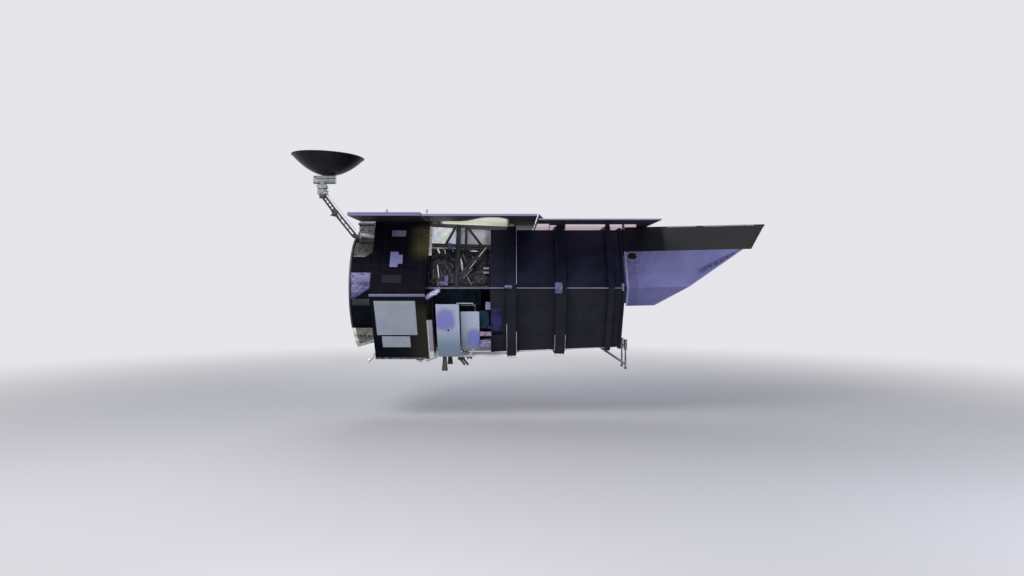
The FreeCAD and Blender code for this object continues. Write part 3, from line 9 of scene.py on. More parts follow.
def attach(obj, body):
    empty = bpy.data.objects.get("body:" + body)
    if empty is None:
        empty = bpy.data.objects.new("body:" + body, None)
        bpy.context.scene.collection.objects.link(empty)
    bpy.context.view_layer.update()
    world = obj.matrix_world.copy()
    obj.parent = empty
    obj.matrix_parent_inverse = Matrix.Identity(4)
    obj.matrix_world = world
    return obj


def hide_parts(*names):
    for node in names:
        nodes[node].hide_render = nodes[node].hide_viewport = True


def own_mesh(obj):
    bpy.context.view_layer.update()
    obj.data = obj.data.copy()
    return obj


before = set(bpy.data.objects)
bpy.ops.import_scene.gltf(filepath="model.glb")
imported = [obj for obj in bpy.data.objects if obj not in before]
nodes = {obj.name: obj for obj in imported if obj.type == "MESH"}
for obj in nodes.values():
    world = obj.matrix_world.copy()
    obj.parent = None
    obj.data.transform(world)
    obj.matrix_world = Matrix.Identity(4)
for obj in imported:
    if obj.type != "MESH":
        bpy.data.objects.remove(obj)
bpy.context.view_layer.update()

# Camera: level with the axis of the satellite and square to its starboard side, so the barrel and
# the cover run across the picture and the dish stands above the aft end.
camera_place = (4.31, -22.2, 0.0)
camera_data = bpy.data.cameras.new("camera")
camera_data.lens = 27.6
camera_data.sensor_width = 36.0
camera_data.clip_end = 300.0
camera = bpy.data.objects.new("camera", camera_data)
camera.location = camera_place
camera.rotation_euler = (math.radians(90), 0, 0)
bpy.context.scene.collection.objects.link(camera)
bpy.context.scene.camera = camera
bpy.context.scene.view_settings.view_transform = "Standard"


# Studio floor: a wide pale disc well below the satellite. It fades into the pale surroundings far out,
# so no horizon shows, and it is clear when seen from underneath.
floor_centre = (4, 0, -3.6)
floor_radius = 90.0
floor_fade_start = 6.0
floor_fade_end = 30.0
backdrop_colour = (0.79, 0.79, 0.82)


def fill(tree, socket, value):
    if isinstance(value, Value):
        value = value.socket
    if isinstance(value, bpy.types.NodeSocket):
        tree.links.new(value, socket)
    elif socket.type == "RGBA":
        socket.default_value = (*value, 1.0)
    else:
        socket.default_value = value


def put(tree, kind, values, **settings):
    node = tree.nodes.new("ShaderNode" + kind)
    for key, value in settings.items():
        setattr(node, key, value)
    for key, value in values.items():
        fill(tree, node.inputs[key], value)
    return node


def reckon(tree, operation, *terms):
    return Value(put(tree, "Math", dict(enumerate(terms)), operation=operation).outputs[0])


class Value:
    def __init__(self, socket):
        self.socket = socket
        self.tree = socket.id_data

    def __add__(self, other):
        return reckon(self.tree, "ADD", self, other)

    def __sub__(self, other):
        return reckon(self.tree, "SUBTRACT", self, other)

    def __rsub__(self, other):
        return reckon(self.tree, "SUBTRACT", other, self)

    def __mul__(self, other):
        return reckon(self.tree, "MULTIPLY", self, other)

    def __truediv__(self, other):
        return reckon(self.tree, "DIVIDE", self, other)

    def __abs__(self):
        return reckon(self.tree, "ABSOLUTE", self)

    def __gt__(self, other):
        return reckon(self.tree, "GREATER_THAN", self, other)

    def __lt__(self, other):
        return reckon(self.tree, "LESS_THAN", self, other)

    def most(self, other):
        return reckon(self.tree, "MAXIMUM", self, other)

    def ease(self, low, high, start=0.0, end=1.0):
        values = {0: self, 1: low, 2: high, 3: start, 4: end}
        return Value(put(self.tree, "MapRange", values, interpolation_type="SMOOTHSTEP").outputs[0])

    def mix(self, first, second):
        values = {0: self, 6: first, 7: second}
        return Value(put(self.tree, "Mix", values, data_type="RGBA").outputs[2])


def deselect():
    if bpy.context.mode != "OBJECT":
        bpy.ops.object.mode_set(mode="OBJECT")
    bpy.ops.object.select_all(action="DESELECT")


deselect()
bpy.ops.mesh.primitive_circle_add(vertices=96, radius=floor_radius, fill_type="NGON", location=floor_centre)
studio_floor = bpy.context.object
studio_floor.name = "studio_floor"
floor_material = bpy.data.materials.new("studio_floor")
floor_material.use_nodes = True
floor_tree = floor_material.node_tree
floor_tree.nodes.clear()
floor_place = put(floor_tree, "TexCoord", {}).outputs["Object"]
floor_reach = put(floor_tree, "VectorMath", {0: floor_place}, operation="LENGTH").outputs["Value"]
floor_far = Value(floor_reach).ease(floor_fade_start, floor_fade_end)
floor_near = put(floor_tree, "BsdfDiffuse", {"Color": (0.52, 0.52, 0.55)}).outputs[0]
floor_glow = put(floor_tree, "Emission", {"Color": backdrop_colour, "Strength": 1.0}).outputs[0]
floor_mix = put(floor_tree, "MixShader", {0: floor_far, 1: floor_near, 2: floor_glow}).outputs[0]
floor_clear = put(floor_tree, "BsdfTransparent", {}).outputs[0]
floor_back = put(floor_tree, "NewGeometry", {}).outputs["Backfacing"]
floor_shown = put(floor_tree, "MixShader", {0: floor_back, 1: floor_mix, 2: floor_clear}).outputs[0]
put(floor_tree, "OutputMaterial", {"Surface": floor_shown})
studio_floor.data.materials.append(floor_material)


# Surroundings and lamps: an even pale room, a large soft key from the upper left in front, a weaker
# fill from the right, one from behind for the rims and one low down for the underside.
room = bpy.data.worlds.new("room")
bpy.context.scene.world = room
room.use_nodes = True
room_tree = room.node_tree
room_tree.nodes.clear()
room_path = put(room_tree, "LightPath", {}).outputs
room_clear = Value(room_path["Is Transmission Ray"]).most(room_path["Is Glossy Ray"])
room_seen = Value(room_path["Is Camera Ray"]).most(room_clear)
room_light = put(room_tree, "Background", {"Color": (0.80, 0.82, 0.90), "Strength": 0.42}).outputs[0]
room_view = put(room_tree, "Background", {"Color": backdrop_colour, "Strength": 1.0}).outputs[0]
room_mix = put(room_tree, "MixShader", {0: room_seen, 1: room_light, 2: room_view}).outputs[0]
put(room_tree, "OutputWorld", {"Surface": room_mix})

lamp_aim = Vector((4.0, 0.0, 0.2))
lamps = (
    ("key_lamp", (-5.0, -15.0, 11.0), 9.0, 2900.0, (1.0, 0.98, 0.95)),
    ("fill_lamp", (16.0, -14.0, 3.0), 8.0, 1000.0, (0.90, 0.90, 1.0)),
    ("rear_lamp", (2.0, 15.0, 10.0), 9.0, 1500.0, (0.95, 0.95, 1.0)),
    ("low_lamp", (3.0, -14.0, -0.6), 6.0, 90.0, (0.90, 0.86, 1.0)),
)
for lamp_name, lamp_place, lamp_size, lamp_power, lamp_colour in lamps:
    lamp_data = bpy.data.lights.new(lamp_name, "AREA")
    lamp_data.energy = lamp_power
    lamp_data.size = lamp_size
    lamp_data.color = lamp_colour
    lamp = bpy.data.objects.new(lamp_name, lamp_data)
    lamp.location = lamp_place
    lamp.rotation_euler = (lamp_aim - Vector(lamp_place)).to_track_quat("-Z", "Y").to_euler()
    bpy.context.scene.collection.objects.link(lamp)


# Boom harness: a bundle of wires in a pale woven sleeve, clamped along the starboard face of the
# antenna boom. It leaves the azimuth base, follows both boom tubes and ends at the root bracket.
harness_radius = 0.011
harness_points = (
    (-0.6787, -1.05, 2.6085),
    (-0.6235, -1.05, 2.438),
    (-0.3676, -1.05, 2.1608),
    (-0.2836, -1.05, 2.0432),
    (0.1006, -1.05, 1.5664),
)


class Finish:
    def __init__(self, name):
        self.material = bpy.data.materials.new(name)
        self.material.use_nodes = True
        self.tree = self.material.node_tree
        self.inputs = self.tree.nodes["Principled BSDF"].inputs
        self.place = put(self.tree, "TexCoord", {}).outputs["Object"]

    def axes(self):
        return [Value(socket) for socket in put(self.tree, "SeparateXYZ", {0: self.place}).outputs]

    def pattern(self, kind, output, values, **settings):
        return Value(put(self.tree, kind, {"Vector": self.place, **values}, **settings).outputs[output])

    def noise(self, scale, detail, roughness=0.5):
        values = {"Scale": scale, "Detail": detail, "Roughness": roughness}
        return self.pattern("TexNoise", 0, values)

    def glow(self, colour, strength):
        fill(self.tree, self.inputs["Emission Color"], colour)
        self.inputs["Emission Strength"].default_value = strength

    def made(self, colour, roughness, relief, metallic=0.0, gloss=0.5):
        height, strength, distance = relief
        values = {"Height": height, "Strength": strength, "Distance": distance}
        bump = put(self.tree, "Bump", values)
        for label, value in (
            ("Base Color", colour), ("Roughness", roughness), ("Metallic", metallic),
            ("Specular IOR Level", gloss), ("Normal", bump.outputs["Normal"]),
        ):
            fill(self.tree, self.inputs[label], value)
        return self.material


def sleeve_finish():
    look = Finish("woven_sleeve")
    weave = look.pattern("TexWave", 1, {"Scale": 55.0, "Distortion": 1.5}, bands_direction="DIAGONAL")
    return look.made(weave.mix((0.34, 0.33, 0.35), (0.62, 0.61, 0.63)), 0.55, (weave, 0.5, 0.002))


harness_curve = bpy.data.curves.new("boom_harness_sleeve", "CURVE")
harness_curve.dimensions = "3D"
harness_curve.bevel_depth = harness_radius
harness_curve.bevel_resolution = 5
harness_curve.resolution_u = 24
harness_curve.use_fill_caps = True
harness_spline = harness_curve.splines.new("NURBS")
harness_spline.points.add(len(harness_points) - 1)
for harness_point, harness_spot in zip(harness_spline.points, harness_points):
    harness_point.co = (*harness_spot, 1.0)
harness_spline.order_u = 3
harness_spline.use_endpoint_u = True
harness_piece = bpy.data.objects.new("boom_harness_sleeve", harness_curve)
bpy.context.scene.collection.objects.link(harness_piece)
harness_curve.materials.append(sleeve_finish())
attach(harness_piece, "boom")
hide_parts("boom_harness")


# Bus: the six-sided equipment section. Its sides are closed with black thermal blankets, sewn from
# many thin layers, taped along their edges and buttoned down, with a painted warm sheen towards the bay.
def new_group(name, inputs, outputs):
    group = bpy.data.node_groups.new(name, "ShaderNodeTree")
    for label, kind in inputs:
        group.interface.new_socket(name=label, in_out="INPUT", socket_type=kind)
    for label in outputs:
        group.interface.new_socket(name=label, in_out="OUTPUT", socket_type="NodeSocketFloat")
    return group, group.nodes.new("NodeGroupInput").outputs, group.nodes.new("NodeGroupOutput").inputs


def crinkle_group():
    inputs = (("Place", "NodeSocketVector"), ("Crease", "NodeSocketFloat"))
    group, given, out = new_group("crinkle", inputs, ("Height", "Cloud"))
    turns = reckon(group, "DIVIDE", 1.0, given["Crease"])
    spot = put(group, "VectorMath", {0: given["Place"], "Scale": turns}, operation="SCALE").outputs[0]
    drift = put(group, "TexNoise", {"Vector": spot, "Scale": 0.8, "Detail": 2.0}).outputs["Color"]
    pushed = put(group, "VectorMath", {0: drift, "Scale": 1.6}, operation="SCALE").outputs[0]
    moved = put(group, "VectorMath", {0: spot, 1: pushed}, operation="ADD").outputs[0]
    large, small = (
        Value(put(group, "TexVoronoi", {"Vector": moved, "Scale": scale}).outputs["Distance"])
        for scale in (1.0, 2.7)
    )
    clouds = {"Vector": given["Place"], "Scale": 1.3, "Detail": 6.0}
    fill(group, out["Height"], large + small * 0.4)
    fill(group, out["Cloud"], put(group, "TexNoise", clouds).outputs[0])
    return group


def line_group():
    labels = ("Along", "Pitch", "Width")
    group, given, out = new_group("lines", [(label, "NodeSocketFloat") for label in labels], ("Line",))
    along, pitch, width = (Value(given[label]) for label in labels)
    near = reckon(group, "PINGPONG", along / pitch, 0.5) * pitch
    fill(group, out["Line"], near < width * 0.5)
    return group


crinkle = crinkle_group()
lines = line_group()


def crinkled(look, crease):
    folds = put(look.tree, "Group", {"Place": look.place, "Crease": crease}, node_tree=crinkle).outputs
    return Value(folds["Height"]), Value(folds["Cloud"])


def lined(along, pitch, width):
    values = {"Along": along, "Pitch": pitch, "Width": width}
    return Value(put(along.tree, "Group", values, node_tree=lines).outputs[0])


def blanket_finish(name, colour, tint, roughness, metallic, crease, depth, gloss=0.5):
    look = Finish(name)
    height, cloud = crinkled(look, crease)
    # Painted crease shade: the colour darkens to 55 per cent of itself in the low folds of the crinkle.
    dark = tuple(share * 0.55 for share in colour)
    shade = height.ease(0.25, 0.8).mix(dark, cloud.ease(0.35, 0.65).mix(colour, tint))
    rough = cloud.ease(0.3, 0.7, roughness * 0.8, roughness * 1.25)
    return look.made(shade, rough, (height, 0.55, depth), metallic, gloss)


def choose(*pieces):
    deselect()
    for piece in pieces:
        piece.select_set(True)
    bpy.context.view_layer.objects.active = pieces[0]


def trim(piece, spot, outward):
    choose(piece)
    bpy.ops.object.mode_set(mode="EDIT")
    bpy.ops.mesh.select_all(action="SELECT")
    bpy.ops.mesh.bisect(plane_co=spot, plane_no=outward.normalized(), clear_outer=True)
    bpy.ops.object.mode_set(mode="OBJECT")


def settle(scale=(1, 1, 1)):
    piece = bpy.context.object
    piece.scale = scale
    bpy.ops.object.transform_apply(location=True, rotation=True, scale=True)
    return piece


def flat_grid(length, width, cell, middle, lean):
    deselect()
    bpy.ops.mesh.primitive_grid_add(
        x_subdivisions=max(2, round(length / cell)), y_subdivisions=max(2, round(width / cell)),
        size=1, location=middle, rotation=(lean, 0, 0),
    )
    return settle((length, width, 1))


def stretch_grid(x0, x1, first, second, cell):
    run = math.hypot(second[0] - first[0], second[1] - first[1])
    lean = math.atan2(second[1] - first[1], second[0] - first[0])
    middle = ((x0 + x1) / 2, (first[0] + second[0]) / 2, (first[1] + second[1]) / 2)
    return flat_grid(x1 - x0, run, cell, middle, lean)


def join(name, group):
    choose(*group)
    bpy.ops.object.join()
    whole = bpy.context.object
    whole.name = name
    bpy.ops.object.mode_set(mode="EDIT")
    bpy.ops.mesh.select_all(action="SELECT")
    bpy.ops.mesh.remove_doubles(threshold=0.0005)
    bpy.ops.object.mode_set(mode="OBJECT")
    return whole


def shape_with(piece, kind, **settings):
    modifier = piece.modifiers.new(kind.lower(), kind)
    for key, value in settings.items():
        setattr(modifier, key, value)
    choose(piece)
    bpy.ops.object.modifier_apply(modifier=modifier.name)


def hold_edges(piece, reach):
    group = piece.vertex_groups.new(name="free")
    uses = {}
    for polygon in piece.data.polygons:
        for key in polygon.edge_keys:
            uses[key] = uses.get(key, 0) + 1
    rim = [piece.data.vertices[index].co.copy() for key, count in uses.items() if count == 1 for index in key]
    tree = KDTree(len(rim))
    for index, spot in enumerate(rim):
        tree.insert(spot, index)
    tree.balance()
    for vertex in piece.data.vertices:
        away = tree.find(vertex.co)[2]
        group.add([vertex.index], min(1.0, away / reach), "REPLACE")


def ripple(piece, size, strength, seed_shift, middle=0.5):
    texture = bpy.data.textures.new("ripple", "CLOUDS")
    texture.noise_scale = size
    texture.noise_depth = 2
    marker = bpy.data.objects.new("ripple_place", None)
    marker.location = seed_shift
    bpy.context.scene.collection.objects.link(marker)
    bpy.context.view_layer.update()
    shape_with(
        piece, "DISPLACE", texture=texture, texture_coords="OBJECT", texture_coords_object=marker,
        direction="NORMAL", mid_level=middle, strength=strength, vertex_group="free",
    )
    bpy.data.objects.remove(marker)
    bpy.data.textures.remove(texture)


def finish_piece(piece, name, material, body="spacecraft"):
    piece.name = name
    piece.data.materials.clear()
    piece.data.materials.append(material)
    choose(piece)
    bpy.ops.object.shade_smooth_by_angle(angle=math.radians(40))
    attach(piece, body)


def press_on(node_name, side, along, height, cell, lift=0.004):
    start_away = 4
    middle = (sum(along) / 2, side * start_away, sum(height) / 2)
    sheet = flat_grid(along[1] - along[0], height[1] - height[0], cell, middle, math.radians(-90 * side))
    shape_with(
        sheet, "SHRINKWRAP", target=nodes[node_name], wrap_method="PROJECT", use_project_y=True,
        use_positive_direction=side < 0, use_negative_direction=side > 0,
    )
    shape_with(sheet, "DISPLACE", strength=lift, mid_level=0.0)
    return sheet


def crumple(piece, size, strength, shift=0.0, reach=0.03):
    hold_edges(piece, reach)
    ripple(piece, size, strength, (shift, 1.3 * shift, 0.4), 0.15)
    ripple(piece, size * 0.4, strength * 0.4, (0.6, shift, -shift), 0.15)


def back_up(piece, thickness):
    shape_with(piece, "SOLIDIFY", thickness=thickness, offset=-1)


def flat_area(piece):
    return sum(polygon.area for polygon in piece.data.polygons)


def lay_foil(piece, name, material, cut):
    area = flat_area(piece)
    slack = max(1.0, math.sqrt(area / (cut[0] * cut[1])))
    back_up(piece, 0.003)
    finish_piece(piece, name, material)
    cut[0] * slack
    cut[1] * slack


def up_side(side, low, high):
    ends = ((side * low[0], low[1]), (side * high[0], high[1]))
    return ends if side < 0 else ends[::-1]


def bus_finish():
    look = Finish("black_blanket")
    x, _, z = look.axes()
    height, cloud = crinkled(look, 0.26)
    patches = cloud.ease(0.35, 0.65)
    # Painted sheen: the upper facets near the bay glow olive-brown. The lower facets there are a warmer dark
    # olive.
    upper = x.ease(1.50, 1.95) * cloud.ease(0.25, 0.55) * z.ease(0.62, 1.15) * z.ease(1.75, 1.5)
    lower = x.ease(1.35, 2.0) * z.ease(-0.3, -0.7)
    plain = patches.mix((0.0025, 0.0025, 0.006), (0.005, 0.0045, 0.009))
    under = patches.mix((0.0035, 0.005, 0.009), (0.007, 0.008, 0.012))
    seams = lined(x, 0.477, 0.012).most(lined(z, 0.62, 0.012))
    shade = upper.mix((z < -0.19).mix(plain, under), (0.095, 0.080, 0.040))
    shade = lower.mix(shade, (0.026, 0.024, 0.016))
    shade = (seams * 0.6).mix(shade, (0.018, 0.018, 0.024))
    rough = cloud.ease(0.3, 0.7, 0.38, 0.55)
    return look.made(shade, rough, (height + seams * 0.4, 0.5, 0.02), gloss=0.02)


def coat(material, *node_names):
    for node_name in node_names:
        data = nodes[node_name].data
        data.materials.clear()
        data.materials.append(material)


sides = (("starboard", -1), ("port", 1))
coat(bus_finish(), "bus_core", "aft_skirt", "aft_deck")

# Closing foil at the front corner of the bus: a crinkled cream flange that stands in the bay just ahead
# of the side blankets, and the loose tufts of foil where the keel blanket is gathered and tied.
cream_foil = blanket_finish("cream_foil", (0.80, 0.78, 0.66), (0.92, 0.90, 0.82), 0.32, 0.15, 0.07, 0.02)
tuft_foil = blanket_finish("tuft_foil", (0.30, 0.28, 0.36), (0.40, 0.37, 0.44), 0.3, 0.6, 0.05, 0.01)
flange_cut = (0.09, 0.899)
flange_foot, flange_head = (1.40, 0.86), (0.99, 1.66)
tuft_out = 1.02
keel_tufts = ((1.77, -1.925, 0.034), (1.84, -1.945, 0.042), (1.90, -1.925, 0.030))
for side_name, side in sides:
    flange = stretch_grid(2.085, 2.175, *up_side(side, flange_foot, flange_head), 0.018)
    crumple(flange, 0.09, 0.045, side * 0.4, 0.02)
    lay_foil(flange, "bus_corner_foil_" + side_name, cream_foil, flange_cut)
    tufts = []
    for tuft_x, tuft_z, tuft_radius in keel_tufts:
        deselect()
        tuft_place = (tuft_x, side * tuft_out, tuft_z)
        bpy.ops.mesh.primitive_ico_sphere_add(subdivisions=4, radius=tuft_radius, location=tuft_place)
        tufts.append(settle())
    gathered = join("keel_tufts_" + side_name, tufts)
    ripple(gathered, 0.03, 0.05, (side * 0.2, 0.1, 0.3))
    finish_piece(gathered, "keel_tufts_" + side_name, tuft_foil)


# Foil on the aft skirt: a blanket folded over its shoulder, olive-grey as a painted sheen on the bulge,
# a crumpled violet patch taped on at the waist with a flat violet plate over it, and a dark olive band below.
# Painted sheen: the shoulder foil is olive-grey where the bulge of the skirt catches a reflection.
shoulder_fold_with_painted_sheen = blanket_finish(
    "shoulder_fold_with_painted_sheen", (0.034, 0.036, 0.033), (0.064, 0.067, 0.062), 0.40, 0.2, 0.24, 0.03,
)
violet_foil_and_painted_highlight = blanket_finish(
    "violet_foil_and_painted_highlight", (0.052, 0.048, 0.160), (0.125, 0.126, 0.255), 0.40, 0.25, 0.15, 0.03,
)
band_foil = blanket_finish("band_foil", (0.014, 0.020, 0.026), (0.024, 0.029, 0.034), 0.36, 0.1, 0.2, 0.02)
violet_plate = blanket_finish(
    "violet_plate", (0.085, 0.074, 0.215), (0.110, 0.098, 0.245), 0.42, 0.1, 0.5, 0.004,
)
skirt_radius = 1.48
shoulder_corner = ((0.60, 0, 0.98), (0.14, 0, -0.20))
violet_corner = ((0.61, 0, 0.0), (0.29, 0, -0.50))
skirt_foils = (
    ("shoulder", (0.07, 0.60), (0.83, 1.225), 0.22, 0.030, shoulder_fold_with_painted_sheen, shoulder_corner),
    ("violet", (0.05, 0.61), (-0.28, 0.41), 0.24, 0.034, violet_foil_and_painted_highlight, violet_corner),
    ("band", (0.08, 0.64), (-0.46, -0.29), 0.20, 0.014, band_foil, None),
)
for side_name, side in sides:
    for foil_name, along, height, fold, depth, foil, corner in skirt_foils:
        patch = press_on("aft_skirt", side, along, height, 0.018)
        turn = skirt_radius * (math.asin(height[1] / skirt_radius) - math.asin(height[0] / skirt_radius))
        if corner:
            trim(patch, corner[0], Vector(corner[1]))
        crumple(patch, fold, depth, side * 0.7)
        patch_name = "skirt_" + foil_name + "_foil_" + side_name
        lay_foil(patch, patch_name, foil, (along[1] - along[0], turn))
    plate = press_on("aft_skirt", side, (0.21, 0.58), (0.125, 0.335), 0.06, 0.042)
    back_up(plate, 0.010)
    shape_with(plate, "BEVEL", width=0.003, segments=2)
    finish_piece(plate, "skirt_plate_" + side_name, violet_plate)


# Edge strips and side plates of the bus: anodised lavender-grey cover strips along the waist, grey ones
# along the keel, and thin pale plates fixed over the blankets, with a dark grey access plate below.
def tiled(x, z, pitch, width):
    return lined(x, pitch, width).most(lined(z, pitch, width))


def plate_finish(name, colour, tint, roughness, tile=0.0):
    look = Finish(name)
    cloud = look.noise(2.2, 6.0)
    shade = cloud.ease(0.35, 0.65).mix(colour, tint)
    height = look.noise(160.0, 2.0) * 0.4
    if tile:
        x, _, z = look.axes()
        joint = tiled(x, z, tile, 0.0022)
        shade = joint.mix(shade, tuple(share * 0.8 for share in colour))
        height = height - joint
    return look.made(shade, cloud.ease(0.3, 0.7, roughness * 0.85, roughness * 1.2), (height, 0.25, 0.002))


def side_plate_finish():
    look = Finish("side_plates")
    x, _, z = look.axes()
    cloud = look.noise(5.0, 6.0)
    pale = cloud.mix((0.145, 0.155, 0.31), (0.175, 0.185, 0.36))
    upper = x.ease(1.10, 1.34).mix((0.125, 0.135, 0.36), (0.19, 0.18, 0.26))
    grey = cloud.mix((0.006, 0.007, 0.010), (0.012, 0.013, 0.017))
    shade = (z > 0.44).mix(grey, (z > 1.25).mix(pale, upper))
    return look.made(shade, 0.5, (cloud, 0.2, 0.003), gloss=0.08)


def strip_finish():
    look = Finish("edge_strips")
    wear = look.noise(9.0, 7.0)
    waist = wear.mix((0.085, 0.080, 0.165), (0.136, 0.132, 0.230))
    keel = wear.ease(0.4, 0.6).mix((0.045, 0.045, 0.055), (0.17, 0.17, 0.18))
    return look.made((look.axes()[2] > -1.0).mix(keel, waist), 0.4, (wear, 0.3, 0.003), gloss=0.35)


coat(strip_finish(), "bus_edge_strips")
coat(side_plate_finish(), "bus_side_plates")
coat(plate_finish("white_panel", (0.32, 0.35, 0.41), (0.28, 0.31, 0.38), 0.3, 0.064), "bus_radiators")


# Separation ring, thruster modules and masts: a machined ring with a dark coating that is bolted to the
# rocket, boxes wrapped in grey foil with bright edges, and slim white-painted antenna masts.
def metal_finish(name, colour, tint, roughness, metallic=1.0, grain=90.0, gloss=0.5):
    look = Finish(name)
    fine = look.noise(grain, 3.0)
    shade = look.noise(3.0, 5.0).ease(0.35, 0.65).mix(colour, tint)
    rough = fine.ease(0.2, 0.8, roughness * 0.75, roughness * 1.3)
    return look.made(shade, rough, (fine, 0.15, 0.002), metallic, gloss)


def thruster_finish():
    look = Finish("thruster_foil")
    x, _, z = look.axes()
    height, cloud = crinkled(look, 0.12)
    grey = cloud.mix((0.075, 0.078, 0.068), (0.15, 0.15, 0.14))
    # Painted crinkle shade: the pale edge foil is lighter on the raised crinkles and darker in the hollows.
    bright = height.mix((0.36, 0.36, 0.34), (0.62, 0.62, 0.60))
    lower_edge = (x * 0.27 - z).ease(1.52, 1.59)
    aft_edge = (x + (z + 1.07) * 0.245).ease(0.125, 0.105)
    shade = lower_edge.most(aft_edge).mix(grey, bright)
    return look.made(shade, cloud.ease(0.3, 0.7, 0.3, 0.48), (height, 0.6, 0.025), 0.4)


ring_metal = metal_finish("ring_metal", (0.040, 0.040, 0.052), (0.075, 0.075, 0.090), 0.46, 0.2, 90.0, 0.2)
housing_foil = blanket_finish(
    "housing_foil", (0.048, 0.048, 0.056), (0.085, 0.085, 0.096), 0.40, 0.35, 0.16, 0.03,
)
white_paint = metal_finish("white_paint", (0.48, 0.48, 0.54), (0.40, 0.40, 0.47), 0.45, 0.0, 60.0)
coat(ring_metal, "separation_ring")
coat(thruster_finish(), "thruster_modules")
coat(housing_foil, "skirt_housing")
coat(white_paint, "low_gain_masts")


# Instrument bay: dark composite carrier and truss, the instruments in cream, grey, black and teal
# blankets, the coolant lines in lavender sleeves, and the four large pale radiators that stand off
# beside it, tiled with small mirrors and marked with violet blotches.
composite = metal_finish(
    "dark_composite", (0.018, 0.018, 0.026), (0.040, 0.040, 0.054), 0.42, 0.0, 240.0, 0.2,
)
grey_foil = blanket_finish("grey_foil", (0.70, 0.69, 0.76), (0.80, 0.79, 0.86), 0.5, 0.0, 0.5, 0.004)
night_blanket = blanket_finish(
    "night_blanket", (0.010, 0.010, 0.013), (0.022, 0.021, 0.025), 0.34, 0.0, 0.12, 0.03, 0.3,
)
teal_blanket = blanket_finish(
    "teal_blanket", (0.0015, 0.005, 0.009), (0.004, 0.008, 0.013), 0.5, 0.0, 0.16, 0.02, 0.03,
)
radiator_violet_blotches = ((2.56, -0.86, 0.36, 0.36), (3.34, -1.32, 0.32, 0.34))


def coolant_finish():
    look = Finish("coolant_sleeve")
    height, cloud = crinkled(look, 0.06)
    sleeve = cloud.mix((0.13, 0.12, 0.26), (0.24, 0.21, 0.38))
    foot = cloud.mix((0.42, 0.42, 0.44), (0.60, 0.60, 0.60))
    return look.made((look.axes()[2] < -1.60).mix(sleeve, foot), 0.36, (height, 0.5, 0.01), 0.2)


def radiator_finish():
    look = Finish("instrument_radiator")
    x, _, z = look.axes()
    cloud = look.noise(1.1, 4.0)
    sway = (cloud - 0.5) * 0.5
    shade = cloud.mix((0.34, 0.39, 0.50), (0.40, 0.46, 0.56))
    shade = z.ease(-0.95, -1.65).mix(shade, (0.165, 0.230, 0.300))
    for centre_x, centre_z, reach_x, reach_z in radiator_violet_blotches:
        across = (x + sway - centre_x) / reach_x
        down = (z + sway - centre_z) / reach_z
        away = across * across + down * down
        shade = (away.ease(1.0, 0.25) * 0.9).mix(shade, (0.17, 0.175, 0.48))
    tile = tiled(x, z, 0.051, 0.0018)
    shade = (tile * 0.35).mix(shade, (0.20, 0.22, 0.34))
    shade = ((x > 2.95) * (z > -0.60)).mix(shade, (0.045, 0.055, 0.075))
    return look.made(shade, 0.24, (1.0 - tile, 0.2, 0.002))


def rail_finish():
    look = Finish("bay_rail")
    x, _, z = look.axes()
    grain = look.noise(14.0, 6.0)
    dark = grain.mix((0.030, 0.028, 0.044), (0.085, 0.080, 0.125))
    pale = grain.mix((0.25, 0.22, 0.30), (0.36, 0.33, 0.40))
    white = grain.mix((0.52, 0.52, 0.49), (0.78, 0.78, 0.74))
    frame_edge = x < 2.112
    keel = (x < 2.34) * (z < -1.70)
    shoe = (x > 4.40).most((z < -1.80) * (x > 2.9))
    shade = (z > 0.0).mix(frame_edge.most(keel).most(shoe).mix(pale, white), dark)
    return look.made(shade, 0.42, (grain, 0.5, 0.006), gloss=0.35)


coat(composite, "instrument_carrier", "bay_truss_starboard", "bay_truss_port")
coat(night_blanket, "wide_field_instrument")
coat(cream_foil, "instrument_cooler")
coat(grey_foil, "optical_bench")
coat(teal_blanket, "lower_instrument")
coat(coolant_finish(), "coolant_lines")
coat(radiator_finish(), "bay_radiators_starboard", "bay_radiators_port")
coat(rail_finish(), "bay_rails")
coat(plate_finish("waist_rail", (0.085, 0.080, 0.150), (0.135, 0.125, 0.205), 0.45), "side_rails")


# Foil in the bay: a crumpled curtain between the cooler and the top rail, made bright by a painted sunlit
# glow, a plain grey shade over the bench, black foil drawn in loose folds over the instrument, and the bare
# silver of its inner layer, which shows as long slits where a fold gapes.
sunlit_share = 0.36


def curtain_finish():
    look = Finish("curtain_foil")
    height = crinkled(look, 0.09)[0]
    # Painted crinkle shade and highlight: the foil is lighter on the raised crinkles and darker in the
    # hollows.
    cream = height.mix((0.70, 0.70, 0.54), (0.97, 0.97, 0.86))
    blue = height.mix((0.46, 0.58, 0.72), (0.72, 0.82, 0.94))
    shade = look.noise(3.1, 3.0).ease(0.46, 0.56).mix(cream, blue)
    # Painted sunlight: the curtain glows with its own colour, though it is no lamp.
    look.glow(shade, sunlit_share)
    return look.made(shade, 0.3, (height, 0.6, 0.02), 0.1)


